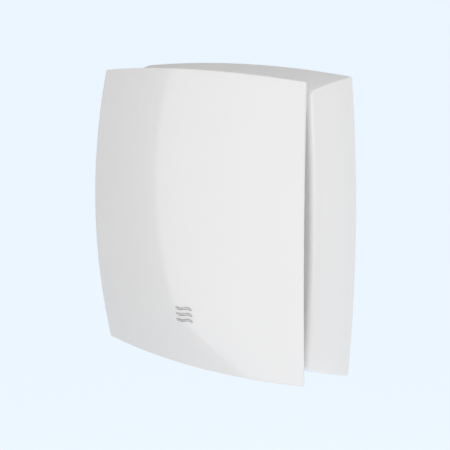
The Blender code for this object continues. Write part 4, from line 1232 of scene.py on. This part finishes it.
def make_board_metal():
    """Tinned parts: the controller's pins and three capacitor cans."""
    places = [(CHIP_X + column * 0.00125, CHIP_Z + side * 0.0046)
              for column in range(-3, 4) for side in (-1, 1)]
    pins = [on_board("pin", x, z, 0.0005, 0.0014, 0.0005, 0.0001) for x, z in places]
    heights = ((0, 0), (0.0024, 0), (0.0025, 0.0006), (0.0022, 0.0009), (0.0025, 0.0012), (0.0025, 0.0062),
               (0.0022, 0.0066), (0, 0.0066))
    profile = [(radius, BOARD_FACE - height) for radius, height in heights]
    cans = [lathe("can", profile, (x, 0, z), steps=28)
            for x, z in ((-0.0185, -0.1035), (-0.0125, -0.1225), (0.012, -0.1165))]
    return join("board_metal", *pins, *cans)


def make_power_supply():
    """Potted supply: rounded block with a raised lid panel."""
    supply = block("supply_block", (-0.055, -0.0295, -0.126), (-0.024, -0.0119, -0.102), 0.001, 3)
    panel = block("panel", (-0.0535, -0.0299, -0.1245), (-0.0255, -0.029, -0.1035), 0.0002, 1)
    return boolean(supply, "UNION", panel)


def make_terminals():
    """Terminal block: three screw wells, each with the mouth for its wire below it."""
    terminals = block("terminals", (0.0405, -0.015, -0.122), (0.0665, -0.0033, -0.106), 0.0004)
    wells = [peg("well", 0.0024, -0.02, -0.0105, place) for place in WELLS]
    mouths = [block("mouth", (x - 0.002, -0.0125, -0.123), (x + 0.002, -0.008, -0.1195))
              for x, y, z in WELLS]
    return boolean(terminals, "DIFFERENCE", join("wells", *wells), join("mouths", *mouths))


def make_terminal_screws():
    """Slotted clamp screws at the bottom of the wells."""
    profile = mm((0, -12), (1.8, -12), (2.1, -11.7), (2.1, -10.6), (0, -10.6))
    screws = []
    for place in WELLS:
        slot = block("slot", (place[0] - 0.0003, -0.0125, -0.117), (place[0] + 0.0003, -0.0116, -0.111))
        screws.append(boolean(lathe("clamp", profile, place, steps=28), "DIFFERENCE", slot))
    return join("clamp_screws", *screws)


def make_terminal_cover():
    """Hollow hood over the terminals."""
    hood = block("terminal_hood", (0.038, -0.0185, -0.1245), (0.069, -0.0045, -0.1035), 0.001, 3)
    hollow = block("hollow", (0.0394, -0.017, -0.1231), (0.0676, 0.0, -0.1049))
    ribs = [block("rib_cut", (0.045 + i * 0.004, -0.019, -0.1205), (0.0462 + i * 0.004, -0.0181, -0.1075))
            for i in range(4)]
    return boolean(hood, "DIFFERENCE", hollow, join("ribs", *ribs))


def make_grommet():
    """Rubber grommet with rounded lips."""
    lip = -0.0033
    profile = [(0.0045, lip - 0.0016), (0.005, lip - 0.0022), (0.009, lip - 0.0022), (0.0098, lip - 0.0015),
               (0.0098, lip - 0.0003), (0.0095, lip), (0.0076, lip), (0.0076, -0.0005), (0.005, -0.0005),
               (0.0045, -0.001)]
    return lathe("rubber_grommet", profile, (CABLE_X, 0, CABLE_Z), steps=64, ring=True)


def make_lead(name, radius, *places):
    """Round lead along a smooth curve through the places."""
    fresh()
    bpy.ops.curve.primitive_bezier_curve_add(location=(0, 0, 0))
    lead = bpy.context.object
    lead.name = lead.data.name = name
    bpy.ops.object.mode_set(mode="EDIT")
    bpy.ops.curve.select_all(action="SELECT")
    bpy.ops.curve.subdivide(number_cuts=len(places) - 2)
    bpy.ops.curve.handle_type_set(type="AUTOMATIC")
    bpy.ops.object.mode_set(mode="OBJECT")
    for point, place in zip(lead.data.splines[0].bezier_points, places):
        point.co = place
    lead.data.bevel_depth = radius
    lead.data.bevel_resolution = 4
    lead.data.use_fill_caps = True
    bpy.ops.object.convert(target="MESH")
    tidy_normals(lead)
    return lead


FAN_ROUTE = mm((-10, -17, -79.5), (-10, -17.2, -86), (-10, -19, -94), (-10, -18.5, -102), (-10, -14, -106))
DRIVE_ROUTE = mm((94, -33.8, -6.8), (94, -33.8, -30), (94.2, -33, -60), (93, -30, -85), (80, -26, -97),
                 (55, -24, -100), (30, -22, -103), (20, -18, -106), (18, -14, -108))
place_piece(make_board(), "board_green", "housing", "control_board")
place_piece(make_chips(), "black_plastic", "housing")
place_piece(make_board_metal(), "zinc", "housing")
place_piece(make_power_supply(), "black_plastic", "housing", "power_supply")
place_piece(make_terminals(), "grey_plastic", "housing", "terminal_block")
place_piece(make_terminal_screws(), "zinc", "housing")
place_piece(make_terminal_cover(), "black_plastic", "housing", "terminal_cover")
place_piece(make_grommet(), "rubber", "housing", "cable_grommet")
place_piece(make_lead("fan_cable", 0.0018, *FAN_ROUTE), "rubber", "housing", "fan_lead")
place_piece(make_lead("drive_cable", 0.0015, *DRIVE_ROUTE), "rubber", "housing", "actuator_lead")


# The CAD nodes behind the pieces wear the same finishes

SLOT_OF = {entry["node"]: entry["material_slot"] for entry in frame["record"]["subparts"]}
for node_name, node_object in frame["nodes"].items():
    node_object.data.materials.clear()
    node_object.data.materials.append(FINISH[SLOT_OF[node_name]])


# Stage

def soft_light(name, place, size, power, colour):
    """Rectangular soft light aimed at the unit."""
    light = bpy.data.lights.new(name, "AREA")
    light.shape = "RECTANGLE"
    light.size, light.size_y = size
    light.energy = power
    light.color = colour
    lamp = bpy.data.objects.new(name, light)
    lamp.location = place
    lamp.rotation_euler = (-Vector(place)).to_track_quat("-Z", "Z").to_euler()
    bpy.context.scene.collection.objects.link(lamp)


def stage_paint(name, first, second, glow_colour, brightness):
    """Matt paint that glows."""
    finish = Finish(name, STAGE_ROUGHNESS)
    finish.colour(finish.blend_colours(finish.noise(STAGE_NOISE), first, second))
    finish.glow(glow_colour, brightness)
    return finish


def beside_axis(distance, across, up):
    """Point of the upright plane that faces the unit from the softbox's side."""
    toward = Vector((-sin(SOFTBOX_AZIMUTH), -cos(SOFTBOX_AZIMUTH), 0))
    side = Vector((cos(SOFTBOX_AZIMUTH), -sin(SOFTBOX_AZIMUTH), 0))
    return toward * distance + side * across + Vector((0, 0, up))


def make_softbox():
    """Tall bright panel at the front left, cut off aslant at the bottom, which the dome mirrors."""
    fresh()
    bpy.ops.mesh.primitive_plane_add(size=2)
    softbox = named("softbox")
    edit(softbox, "VERT")
    bpy.ops.mesh.subdivide(number_cuts=1)
    leave_edit()
    low, corner, high = SOFTBOX_ENDS
    for vertex in softbox.data.vertices:
        x, y = round(vertex.co.x), round(vertex.co.y)
        up = (corner if x < 0 else low, corner, high)[y + 1]
        vertex.co = beside_axis(SOFTBOX_DISTANCE, SOFTBOX_SIDES[x + 1], up)
    finish = stage_paint("softbox_glow", (0.79, 0.79, 0.79), (0.8, 0.8, 0.8), LAMP_COLOUR, SOFTBOX_BRIGHT)
    softbox.data.materials.append(finish.material)


def make_card():
    """Grey card behind the softbox, which the shaded side of the dome mirrors."""
    fresh()
    bpy.ops.mesh.primitive_plane_add(size=2)
    card = named("grey_card")
    for vertex in card.data.vertices:
        across = CARD_SIDES[vertex.co.x > 0]
        up = CARD_ENDS[vertex.co.y > 0]
        vertex.co = beside_axis(SOFTBOX_DISTANCE + CARD_GAP, across, up)
    finish = stage_paint("card_paint", (0.1, 0.1, 0.1), (0.11, 0.11, 0.11), LAMP_COLOUR, CARD_BRIGHT)
    card.data.materials.append(finish.material)


def make_floor():
    """Pale translucent table, lit from below as well."""
    fresh()
    bpy.ops.mesh.primitive_plane_add(size=FLOOR_SIZE, location=(0, 0, FLOOR_Z))
    floor = named("floor")
    finish = stage_paint("floor_paint", (0.44, 0.48, 0.52), (0.46, 0.5, 0.54), FLOOR_COLOUR, FLOOR_BRIGHT)
    finish.shader.inputs["Specular IOR Level"].default_value = 0.0
    floor.data.materials.append(finish.material)


def make_stage():
    make_floor()
    world = bpy.data.worlds.new("studio")
    bpy.context.scene.world = world
    world.use_nodes = True
    sky = world.node_tree.nodes["Background"]
    sky.inputs["Color"].default_value = (*WORLD_COLOUR, 1)
    sky.inputs["Strength"].default_value = WORLD_BRIGHT
    soft_light("right_softbox", RIGHT_PLACE, RIGHT_SIZE, RIGHT_POWER, LAMP_COLOUR)
    soft_light("top_softbox", TOP_PLACE, TOP_SIZE, TOP_POWER, TOP_COLOUR)
    make_softbox()
    make_card()
    bpy.context.scene.view_settings.view_transform = "Standard"


def make_camera():
    toward = Vector((
        sin(CAMERA_AZIMUTH) * cos(CAMERA_HEIGHT_ANGLE),
        -cos(CAMERA_AZIMUTH) * cos(CAMERA_HEIGHT_ANGLE),
        sin(CAMERA_HEIGHT_ANGLE),
    ))
    data = bpy.data.cameras.new("camera")
    data.lens = CAMERA_LENS
    data.sensor_width = SENSOR_WIDTH
    camera = bpy.data.objects.new("camera", data)
    turn = toward.to_track_quat("Z", "Y").to_matrix().to_4x4() @ Matrix.Rotation(CAMERA_ROLL, 4, "Z")
    camera.matrix_world = Matrix.Translation(CAMERA_AIM + toward * CAMERA_DISTANCE) @ turn
    bpy.context.scene.collection.objects.link(camera)
    bpy.context.scene.camera = camera


make_stage()
make_camera()
leave_edit()
